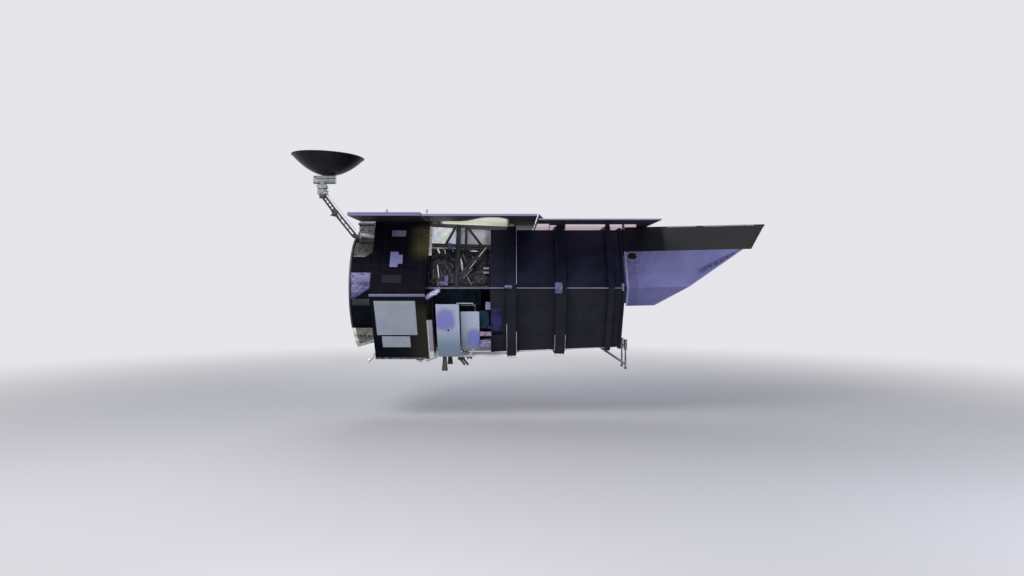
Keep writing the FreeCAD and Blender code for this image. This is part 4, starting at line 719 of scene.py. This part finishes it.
curtain_foil = curtain_finish()
fold_silver = blanket_finish("fold_silver", (0.60, 0.60, 0.60), (0.78, 0.78, 0.76), 0.3, 0.3, 0.06, 0.01)
fold_grey = blanket_finish("fold_grey", (0.14, 0.14, 0.15), (0.26, 0.26, 0.26), 0.34, 0.2, 0.06, 0.01)
slit_out = 1.352
gaping_folds = (
    (fold_silver, (
        ((2.325, 1.075), (2.395, 0.905), 0.050), ((2.515, 1.035), (2.545, 0.900), 0.022),
        ((2.950, 0.780), (3.000, 0.400), 0.062), ((3.190, 0.985), (3.410, 0.975), 0.036),
        ((2.330, 0.630), (2.370, 0.240), 0.032),
    )),
    (fold_grey, (
        ((2.730, 1.040), (2.745, 0.950), 0.020), ((2.510, 0.765), (2.545, 0.650), 0.014),
        ((2.725, 0.650), (2.735, 0.510), 0.018), ((2.885, 0.850), (2.870, 0.410), 0.024),
        ((2.985, 0.930), (3.105, 0.670), 0.020), ((3.240, 0.835), (3.300, 0.765), 0.020),
        ((2.235, 0.540), (2.220, 0.240), 0.016), ((2.110, 0.430), (2.060, 0.320), 0.014),
        ((2.420, 0.450), (2.490, 0.240), 0.012),
    )),
)
for side_name, side in sides:
    curtain = stretch_grid(2.11, 2.78, *up_side(side, (0.88, 1.17), (0.82, 1.665)), 0.02)
    crumple(curtain, 0.16, 0.06, side * 0.5, 0.02)
    curtain_name = "cooler_curtain_" + side_name
    lay_foil(curtain, curtain_name, curtain_foil, (0.67, 0.5))
    shade = stretch_grid(2.92, 3.73, *up_side(side, (0.86, 1.13), (0.82, 1.60)), 0.045)
    crumple(shade, 0.5, 0.012, side * 0.9, 0.05)
    lay_foil(shade, "bench_shade_" + side_name, grey_foil, (0.81, 0.47))
    wrap = press_on("wide_field_instrument", side, (2.11, 3.66), (0.07, 1.045), 0.016)
    crumple(wrap, 0.20, 0.075, side * 0.3, 0.03)
    wrap_name = "instrument_wrap_" + side_name
    lay_foil(wrap, wrap_name, night_blanket, (1.55, 0.975))
    for lining, folds in gaping_folds:
        slits = []
        for (top_x, top_z), (foot_x, foot_z), width in folds:
            across, up = top_x - foot_x, top_z - foot_z
            deselect()
            bpy.ops.mesh.primitive_uv_sphere_add(
                segments=12, ring_count=12, radius=1, rotation=(0, math.atan2(across, up), 0),
                location=((top_x + foot_x) / 2, side * slit_out, (top_z + foot_z) / 2),
            )
            slits.append(settle((width * 0.5, 0.012, math.hypot(across, up) * 0.5)))
        lined_folds = join("gaping_folds", slits)
        ripple(lined_folds, 0.05, 0.012, (0.2, side * 0.4, 0.1))
        finish_piece(lined_folds, lining.name + "_" + side_name, lining)


# Small fittings in the bay: a crumpled violet bundle at the foot of the truss, foil on its beam, two grey
# connector blocks, pale rods along the upper edges of the diagonals as a painted highlight, a bare pipe,
# crumpled sleeves on the coolant lines, foil tied on a strut, and the teal box beside the radiators.
def bevelled_box(low, high, width):
    deselect()
    bpy.ops.mesh.primitive_cube_add(size=1, location=tuple((a + b) / 2 for a, b in zip(low, high)))
    box = settle(tuple(abs(b - a) for a, b in zip(low, high)))
    shape_with(box, "BEVEL", width=width, segments=3)
    return box


def side_box(side, along, out, up, width=0.006):
    low, high = sorted((side * out[0], side * out[1]))
    return bevelled_box((along[0], low, up[0]), (along[1], high, up[1]), width)


def crumpled_box(side, along, out, up, size, strength):
    box = side_box(side, along, out, up, 0.012)
    shape_with(box, "REMESH", mode="VOXEL", voxel_size=0.008)
    ripple(box, size, strength, (side * 0.3, 0.2, 0.5))
    return box


def bare_rod(start, end, radius, sides_round=12):
    start, end = Vector(start), Vector(end)
    deselect()
    bpy.ops.mesh.primitive_cylinder_add(
        vertices=sides_round, radius=radius, depth=(end - start).length, location=(start + end) / 2,
        rotation=(end - start).to_track_quat("Z", "Y").to_euler(),
    )
    rod = settle()
    shape_with(rod, "BEVEL", width=radius * 0.3, segments=2)
    return rod


# Pale metal for the bare pipe, and for the rods that paint a highlight along the truss diagonals.
bare_metal_and_painted_highlight = metal_finish("bare_metal_and_painted_highlight", (0.42, 0.42, 0.46), (0.60, 0.60, 0.62), 0.36, 0.2, 50.0)
sleeve_foil = blanket_finish(
    "sleeve_foil", (0.120, 0.100, 0.200), (0.220, 0.165, 0.280), 0.38, 0.15, 0.07, 0.03,
)
tie_foil = blanket_finish("tie_foil", (0.34, 0.33, 0.62), (0.62, 0.60, 0.86), 0.3, 0.2, 0.05, 0.02)
teal_box = blanket_finish(
    "teal_box", (0.005, 0.016, 0.033), (0.008, 0.024, 0.044), 0.45, 0.0, 0.3, 0.006, 0.08,
)
connector_grey = metal_finish("connector_grey", (0.17, 0.17, 0.20), (0.25, 0.25, 0.28), 0.4, 0.2, 80.0)
sensor_body = metal_finish("sensor_body", (0.020, 0.024, 0.024), (0.050, 0.056, 0.054), 0.4, 0.2, 90.0, 0.3)
foil_fittings = (
    ("violet_bundle_", violet_foil_and_painted_highlight, (
        ((2.33, 2.62), (1.38, 1.47), (0.06, 0.17), 0.05, 0.075),
        ((2.53, 2.63), (1.39, 1.46), (0.13, 0.33), 0.05, 0.06),
    )),
    ("beam_foil_", violet_foil_and_painted_highlight, (((2.59, 2.68), (1.14, 1.24), (1.05, 1.20), 0.05, 0.03),)),
    ("coolant_sleeves_", sleeve_foil, (
        ((3.46, 3.76), (1.30, 1.40), (-1.277, -1.160), 0.07, 0.035),
        ((3.46, 3.74), (1.20, 1.34), (-1.600, -1.385), 0.07, 0.035),
    )),
)
rod_fittings = (
    ("truss_edge_tape_", "silver_blanket", (
        ((3.623, 1.265, 1.081), (3.423, 1.395, 0.823), 0.012),
        ((3.364, 1.435, 0.737), (3.190, 1.555, 0.507), 0.010),
        ((3.262, 1.500, 0.500), (3.027, 1.640, 0.2476), 0.005),
        ((3.128, 1.560, 0.307), (3.247, 1.640, 0.080), 0.004),
    )),
    ("header_pipe_", "tube_grey", (
        ((2.84, 1.46, -0.405), (3.26, 1.46, -0.405), 0.014),
        ((3.262, 1.46, -0.400), (3.33, 1.40, -0.50), 0.012),
    )),
)


def mirrored_rods(side, runs, sides_round=12):
    rods = []
    for start, end, radius in runs:
        ends = [(spot[0], side * spot[1], spot[2]) for spot in (start, end)]
        rods.append(bare_rod(*ends, radius, sides_round))
    return rods


for side_name, side in sides:
    for fitting_name, foil, boxes in foil_fittings:
        rolls = [crumpled_box(side, *box) for box in boxes]
        foiled = join(fitting_name, rolls) if len(rolls) > 1 else rolls[0]
        finish_piece(foiled, fitting_name + side_name, foil)
    for fitting_name, slot, runs in rod_fittings:
        finish_piece(join(fitting_name, mirrored_rods(side, runs)), fitting_name + side_name, bare_metal_and_painted_highlight)
    blocks = [side_box(side, (3.55, 3.71), (1.36, 1.42), up) for up in ((0.495, 0.545), (0.375, 0.436))]
    finish_piece(join("blocks", blocks), "connector_blocks_" + side_name, connector_grey)
    box = side_box(side, (3.46, 3.70), (1.30, 1.42), (-1.066, -0.594), 0.012)
    finish_piece(box, "teal_box_" + side_name, teal_box)
    strut_foil = bare_rod((2.10, side * 1.985, -0.262), (2.44, side * 1.985, -0.058), 0.046)
    shape_with(strut_foil, "REMESH", mode="VOXEL", voxel_size=0.007)
    ripple(strut_foil, 0.055, 0.07, (side * 0.2, 0.4, 0.1))
    finish_piece(strut_foil, "strut_foil_" + side_name, tie_foil)
coat(sensor_body, "lower_sensors")


# Barrel: six flat panels round the telescope with stiffening bands, all in black blanket with faint
# seams across. Painted reflection tints the upper panels midnight blue-black and the lower ones dark olive.
def barrel_finish(name, colour, tint):
    look = Finish(name)
    height, cloud = crinkled(look, 0.45)
    seam = lined(look.axes()[0] - 3.74, 0.585, 0.010)
    pale = tuple(2.2 * share for share in tint)
    shade = (seam * 0.3).mix(cloud.ease(0.35, 0.65).mix(colour, tint), pale)
    return look.made(shade, cloud.ease(0.3, 0.7, 0.38, 0.6), (height + seam, 0.45, 0.014), gloss=0.10)


# Painted reflection: one black blanket, tinted midnight blue on the upper panels and dark olive on the lower.
upper_reflection_blanket = barrel_finish("midnight_blanket", (0.0045, 0.005, 0.014), (0.008, 0.009, 0.022))
lower_reflection_blanket = barrel_finish("olive_blanket", (0.012, 0.013, 0.020), (0.018, 0.019, 0.025))
coat(upper_reflection_blanket, *("barrel_panel_" + place for place in ("top", "port_upper", "starboard_upper")))
coat(lower_reflection_blanket, *("barrel_panel_" + place for place in ("bottom", "port_lower", "starboard_lower")))

# Trim on the barrel: pale tape down the band edges and along the keel seam, crumpled foil feet under the
# bands, crumpled violet foil over the waist joints as a painted highlight on the rounded band corners,
# and a violet and a black patch taped on by the bay.
band_half = 2.046
band_slope_up, band_slope_down = 0.647, 0.600
waist_highlight_rise = 0.003
keel_seam = ((4.45, 0.935, -1.722), (7.15, 0.925, -1.596), 0.010)
band_tapes = (
    (4.428, 0.10, 1.60, 0.007), (4.428, -1.17, -1.80, 0.013), (4.172, -0.95, -1.78, 0.009),
    (5.455, -1.25, -1.66, 0.009), (5.733, -1.25, -1.66, 0.009),
)
waist_highlight_boxes = (
    ((4.114, 4.31), (1.97, 2.036), (-0.013, 0.067)), ((5.42, 5.61), (1.95, 2.036), (-0.139, 0.142)),
    ((7.147, 7.20), (1.93, 1.99), (-0.077, 0.13)),
)
band_feet = (((4.19, 4.43), (0.90, 0.99), (-1.875, -1.835)), ((5.46, 5.73), (0.90, 0.99), (-1.835, -1.775)))
patch_stretch = 1.14
seam_tape = metal_finish("seam_tape", (0.28, 0.26, 0.34), (0.44, 0.42, 0.50), 0.4, 0.1, 40.0)
foot_foil = blanket_finish("foot_foil", (0.46, 0.45, 0.40), (0.70, 0.69, 0.64), 0.34, 0.1, 0.05, 0.01)
violet_patch = blanket_finish(
    "violet_patch", (0.024, 0.022, 0.085), (0.034, 0.032, 0.110), 0.45, 0.0, 0.3, 0.006, 0.1,
)
black_patch = blanket_finish(
    "black_patch", (0.004, 0.004, 0.006), (0.006, 0.006, 0.009), 0.5, 0.0, 0.3, 0.006, 0.05,
)
pressed_patches = ((violet_patch, (3.76, 4.03), (-1.13, -0.53)), (black_patch, (3.80, 4.06), (-1.25, -1.165)))


def on_band(x, z):
    slope = band_slope_up if z > 0 else band_slope_down
    return x, band_half - slope * abs(z), z


for side_name, side in sides:
    tape_runs = [(on_band(x, start_z), on_band(x, end_z), width) for x, start_z, end_z, width in band_tapes]
    tapes = join("tapes", mirrored_rods(side, (*tape_runs, keel_seam), 8))
    finish_piece(tapes, "barrel_seam_tape_" + side_name, seam_tape)
    # Painted highlight: crumpled violet foil on the rounded waist corners of the bands.
    waist_highlight = join("waist_highlights", [crumpled_box(side, *box, 0.05, 0.02) for box in waist_highlight_boxes])
    for vertex in waist_highlight.data.vertices:
        reach = band_half + waist_highlight_rise - band_slope_up * abs(vertex.co.z)
        vertex.co.y = side * min(abs(vertex.co.y), reach)
    finish_piece(waist_highlight, "waist_fairings_" + side_name, violet_foil_and_painted_highlight)
    feet = join("feet", [crumpled_box(side, *foot, 0.05, 0.03) for foot in band_feet])
    finish_piece(feet, "band_feet_" + side_name, foot_foil)
    panel_name = "barrel_panel_" + side_name + "_lower"
    for foil, along, height in pressed_patches:
        patch = press_on(panel_name, side, along, height, 0.03, 0.006)
        cut = (along[1] - along[0], (height[1] - height[0]) * patch_stretch)
        lay_foil(patch, "barrel_" + foil.name + "_" + side_name, foil, cut)


# Telescope inside the barrel: a silvered primary mirror in its cell, a matt black baffle, and the struts
# that carry the small secondary mirror. Outside it the outrigger is a bare grey tube.
mirror_silver = metal_finish("mirror_silver", (0.88, 0.89, 0.90), (0.90, 0.91, 0.92), 0.04, 1.0, 4.0)
baffle_black = metal_finish("baffle_black", (0.012, 0.012, 0.014), (0.022, 0.022, 0.024), 0.7, 0.0, 120.0)
coat(mirror_silver, "primary_mirror", "secondary_mirror")
coat(baffle_black, "mirror_cell", "centre_baffle", "secondary_struts")
coat(metal_finish("outrigger_tube", (0.10, 0.10, 0.13), (0.20, 0.20, 0.24), 0.35, 0.6), "outrigger")


# Solar array and shade flaps: honeycomb panels with rows of blue-black cells on the sun side and a
# lavender painted rim, hinged between the fixed centre panels and the wings. The dark underside carries
# painted reflections of the lit blankets, glowing patches that keep their place on it. Their limits are
# slopes of lines of sight.
glare_share = 0.42
glare_soft = (0.0012, 0.0008)
front_patches = (
    (0.0267, 0.0203, 1.75), (0.0522, 0.0038, 1.30), (0.0933, 0.0250, 1.60), (0.1323, 0.0076, 1.60),
    (0.1505, 0.0073, 1.60),
)
step_end = 5.105
wing_tip = 2.997


def rear_glare(sight, across):
    swell = abs(sight + 0.026).ease(0.040, 0.004, 0.0, 1.15)
    return abs(sight + 0.0475).ease(0.0445, 0.0385) * (across - swell).ease(1.62, 1.18)


def front_glare(sight, across):
    patches = []
    for middle, half, reach in front_patches:
        inside = abs(sight - middle).ease(half + glare_soft[0], half - glare_soft[1])
        patches.append(inside * across.ease(reach + 0.16, reach - 0.12))
    return reduce(Value.most, patches)


def array_finish(row, top, under, glare_colour, glare):
    look = Finish("array_" + row)
    x, y, z = look.axes()
    across = abs(y)
    sunny = z > top - 0.0015
    cell = lined(x, 0.0795, 0.004).most(lined(y, 0.0405, 0.003))
    string = lined(x, 0.954, 0.030).most(lined(y, 0.4860, 0.022))
    finger = lined(y, 0.00675, 0.0009) * 0.35
    cloud = look.noise(6.0, 4.0)
    blue = cloud.mix((0.008, 0.014, 0.052), (0.016, 0.022, 0.075))
    gaps = ((finger, (0.16, 0.18, 0.26)), (cell, (0.20, 0.21, 0.26)), (string, (0.50, 0.50, 0.54)))
    for share, colour in gaps:
        blue = share.mix(blue, colour)
    back = cloud.ease(0.35, 0.65).mix((0.022, 0.020, 0.022), (0.038, 0.036, 0.036))
    sight = (x - camera_place[0]) / (-camera_place[1] - across)
    patch = glare(sight, across) * (z < under + 0.0015)
    back = (across > wing_tip).mix(patch.mix(back, glare_colour), (0.185, 0.175, 0.300))
    shade = sunny.mix(back, blue)
    if row == "front":
        step = (x < step_end) * (z > top - 0.003) * across.ease(2.70, 2.86)
        shade = step.mix(shade, (0.50, 0.50, 0.40))
    # Painted reflection: the glare patches also glow with their own colour.
    look.glow(patch.mix((0.0, 0.0, 0.0), glare_colour), glare_share)
    return look.made(shade, 0.46 - sunny * 0.06, ((1.0 - cell) * sunny, 0.3, 0.002), gloss=0.16)


def flap_finish():
    look = Finish("flap_panel")
    wear = look.noise(4.0, 7.0)
    rim = wear.mix((0.100, 0.092, 0.235), (0.135, 0.140, 0.260))
    under = wear.mix((0.011, 0.010, 0.012), (0.022, 0.020, 0.021))
    return look.made((look.axes()[2] > 1.7712).mix(under, rim), 0.45, (wear, 0.3, 0.005), gloss=0.2)


for row, top, under, glare_colour, glare in (
    ("rear", 1.815, 1.765, (0.92, 0.95, 0.76), rear_glare),
    ("front", 1.698, 1.666, (0.95, 0.78, 0.88), front_glare),
):
    panels = ("array_centre_" + row, "array_wing_" + row + "_starboard", "array_wing_" + row + "_port")
    coat(array_finish(row, top, under, glare_colour, glare), *panels)
coat(white_paint, "array_standoffs", "flap_hinge_brackets")
coat(flap_finish(), "shade_flap_starboard", "shade_flap_port")


# High-gain antenna: a dark composite dish on a two-axis gimbal wrapped in crinkled foil, at the end of
# a hinged twin-tube boom.
dish_black = metal_finish("dish_black", (0.005, 0.005, 0.008), (0.012, 0.012, 0.016), 0.36, 0.0, 200.0, 0.12)
gimbal_foil = blanket_finish("gimbal_foil", (0.20, 0.22, 0.23), (0.34, 0.36, 0.37), 0.36, 0.3, 0.05, 0.03)


def root_finish():
    look = Finish("root_tube")
    grain = look.noise(30.0, 5.0)
    tube = grain.mix((0.22, 0.235, 0.24), (0.34, 0.35, 0.355))
    lugs = grain.mix((0.010, 0.010, 0.014), (0.022, 0.022, 0.028))
    return look.made(look.axes()[0].ease(0.225, 0.235).mix(lugs, tube), 0.42, (grain, 0.3, 0.004), 0.2, 0.35)


coat(dish_black, "dish_reflector")
coat(white_paint, "dish_feed")
coat(gimbal_foil, "dish_yoke", "gimbal_housing", "azimuth_base")
coat(composite, "antenna_boom")
coat(root_finish(), "boom_root_bracket")
for wrap_name, wrap_body, low, high in (
    ("gimbal_foil_wrap", "gimbal", (-0.925, -1.155, 2.672), (-0.660, -0.945, 2.790)),
    ("azimuth_foil_wrap", "boom", (-0.915, -1.160, 2.510), (-0.655, -0.940, 2.650)),
):
    wrap = bevelled_box(low, high, 0.02)
    shape_with(wrap, "REMESH", mode="VOXEL", voxel_size=0.008)
    ripple(wrap, 0.05, 0.022, (0.3, 0.1, 0.2))
    finish_piece(wrap, wrap_name, gimbal_foil, wrap_body)


# Aperture cover: a shade of two-layer fabric on two booms and three spreader bars, hinged over the
# barrel mouth. The top sheet and the upper side panels are dark and the skirts are lavender. Each cloth
# is held along its edges, so it ripples only between them, and hems run along the top as raised rods
# whose pale colour is a painted highlight on the top edge.
cover_hinge = (7.33, 0.0, 1.605)
cover_top_z = 1.6403
cover_top_half = 0.95
cover_waist_half = 1.90
cover_front_x = 11.15
cover_rear_x = 7.284
cover_break_x = 10.67
cover_skirt_waist_x = 8.90
cover_low_x = 8.14
cover_low_z = -0.47
cover_low_half = 1.64
cover_panel_low_z = 0.9653
cover_notch_x = 7.372
cover_notch_z = 1.571
cover_rise = math.tan(math.radians(1.3))
cover_top_gap = 0.034
cover_cloth_depth = 0.006
cover_cell = 0.035
skirt_edges = (
    ((cover_break_x, cover_panel_low_z), (cover_skirt_waist_x, 0)),
    ((cover_skirt_waist_x, 0), (cover_low_x, cover_low_z)),
)
skirt_crease_shade = (9.21, 0.445, 0.454)
skirt_tear = (7.54, 0.985)
top_hem_highlight_runs = ((8.50, 9.285), (9.475, 10.58), (10.61, 10.85))
top_hem_half, top_hem_drop, top_hem_radius = 0.972, 0.022, 0.010


def cover_edge(height):
    return cover_top_half + (cover_waist_half - cover_top_half) * (cover_top_z - height) / cover_top_z


def notch(piece, x, z):
    choose(piece)
    bpy.ops.object.mode_set(mode="EDIT")
    for spot, facing in (((x, 0, 0), (1, 0, 0)), ((0, 0, z), (0, 0, 1))):
        bpy.ops.mesh.select_all(action="SELECT")
        bpy.ops.mesh.bisect(plane_co=spot, plane_no=facing)
    bpy.ops.mesh.select_all(action="DESELECT")
    bpy.ops.object.mode_set(mode="OBJECT")
    for polygon in piece.data.polygons:
        polygon.select = polygon.center.x < x and polygon.center.z > z
    bpy.ops.object.mode_set(mode="EDIT")
    bpy.ops.mesh.select_mode(type="FACE")
    bpy.ops.mesh.delete(type="FACE")
    bpy.ops.mesh.select_mode(type="VERT")
    bpy.ops.object.mode_set(mode="OBJECT")


def raised(x):
    return (x - cover_hinge[0]) * cover_rise


def cloth(piece, name, material, waves):
    for vertex in piece.data.vertices:
        vertex.co.z += raised(vertex.co.x)
    hold_edges(piece, 0.16)
    for size, strength in waves:
        ripple(piece, size, strength, (0.37 * size, 1.9, -0.6))
    back_up(piece, cover_cloth_depth)
    finish_piece(piece, name, material, "cover")


def skirt_finish():
    look = Finish("lavender_skirt")
    x, _, z = look.axes()
    height, cloud = crinkled(look, 0.42)
    fine = look.noise(14.0, 8.0, 0.7)
    shade = cloud.ease(0.3, 0.7).mix((0.100, 0.100, 0.250), (0.140, 0.140, 0.310))
    # Painted wrinkle shade: noise darkens the skirt in patches.
    shade = fine.ease(0.62, 0.80).mix(shade, (0.060, 0.060, 0.165))
    shade = (x.ease(7.62, 7.56) * 0.5).mix(shade, (0.072, 0.075, 0.180))
    # Painted crease shade: a dark line along a diagonal fold.
    crease_x, crease_z, crease_slope = skirt_crease_shade
    crease = abs(z - crease_z - (x - crease_x) * crease_slope).ease(0.11, 0.02)
    crease = crease * x.ease(9.05, 9.4) * fine.ease(0.40, 0.52)
    shade = crease.mix(shade, (0.028, 0.028, 0.085))
    hem = x.ease(7.345, 7.335)
    for (head_x, head_z), (foot_x, foot_z) in skirt_edges:
        slope = (head_z - foot_z) / (head_x - foot_x) + cover_rise
        above = z - (foot_z + raised(foot_x)) - (x - foot_x) * slope
        hem = hem.most(above.ease(0.034, 0.024))
    shade = hem.mix(shade, (0.225, 0.220, 0.400))
    tear_across = (x + fine * 0.10 - skirt_tear[0]) / 0.115
    tear_down = (z + fine * 0.30 - skirt_tear[1]) / 0.10
    tear = tear_down * tear_down + tear_across * tear_across
    shade = tear.ease(1.9, 1.5).mix(shade, (0.20, 0.20, 0.32))
    shade = tear.ease(1.25, 0.95).mix(shade, (0.002, 0.002, 0.004))
    return look.made(shade, fine.ease(0.3, 0.7, 0.26, 0.42), (height + fine * 0.5, 0.5, 0.03), 0.35)


def cover_finish():
    look = Finish("cover_blanket")
    height, cloud = crinkled(look, 0.40)
    shade = cloud.mix((0.018, 0.020, 0.021), (0.027, 0.029, 0.028))
    # Painted shade under the solar array: the cloth turns near black towards the hinge end.
    shade = look.axes()[0].ease(8.46, 8.30).mix(shade, (0.003, 0.003, 0.007))
    return look.made(shade, cloud.ease(0.3, 0.7, 0.38, 0.6), (height, 0.5, 0.02), gloss=0.10)


lavender_skirt = skirt_finish()
cover_blanket = cover_finish()
top_rear_x = cover_hinge[0] + cover_top_gap
top_edges = ((-cover_top_half, cover_top_z), (cover_top_half, cover_top_z))
top_sheet = stretch_grid(top_rear_x, cover_front_x, *top_edges, cover_cell)
cloth(
    top_sheet, "cover_top_cloth",
    cover_blanket,
    ((0.6, 0.03), (0.2, 0.008)),
)
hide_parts("cover_top_sheet")

top_corner = (cover_edge(cover_top_z), cover_top_z)
low_corner = (cover_edge(cover_panel_low_z), cover_panel_low_z)
waist = (cover_waist_half, 0.0)
keel = (cover_low_half, cover_low_z)
for side_name, side in sides:
    panel = stretch_grid(cover_rear_x, cover_front_x, *up_side(side, low_corner, top_corner), cover_cell)
    panel_slope = Vector((cover_top_z - cover_panel_low_z, 0, -(cover_front_x - cover_break_x)))
    trim(panel, (cover_front_x, 0, cover_top_z), panel_slope)
    notch(panel, cover_notch_x, cover_notch_z)
    cloth(
        panel, "cover_side_cloth_" + side_name,
        cover_blanket,
        ((0.7, 0.03), (0.2, 0.010), (0.08, 0.003)),
    )
    upper = stretch_grid(cover_rear_x, cover_break_x, *up_side(side, waist, low_corner), cover_cell)
    lower = stretch_grid(cover_rear_x, cover_break_x, *up_side(side, keel, waist), cover_cell)
    skirt = join("cover_skirt_cloth_" + side_name, [upper, lower])
    for (head_x, head_z), (foot_x, foot_z) in skirt_edges:
        trim(skirt, (foot_x, 0, foot_z), Vector((head_z - foot_z, 0, foot_x - head_x)))
    cloth(
        skirt, "cover_skirt_cloth_" + side_name,
        lavender_skirt,
        ((0.75, 0.055), (0.24, 0.016), (0.09, 0.005)),
    )
    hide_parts("cover_side_panels")
    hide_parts("cover_skirts")
    for soft_piece in (panel, skirt):
        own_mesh(soft_piece)
    # Painted highlight: pale hem rods along the top edge, in three runs.
    hem_z = cover_top_z - top_hem_drop
    hem_highlight_runs = []
    for run in top_hem_highlight_runs:
        start, end = ((x, top_hem_half, hem_z + raised(x)) for x in run)
        hem_highlight_runs.append((start, end, top_hem_radius))
    hem_highlights = join("hem_highlights", mirrored_rods(side, hem_highlight_runs, 8))
    finish_piece(hem_highlights, "cover_top_hem_" + side_name, seam_tape, "cover")
coat(ring_metal, "cover_hinge_brackets")
coat(composite, "cover_boom_starboard", "cover_boom_port", "cover_spreaders")
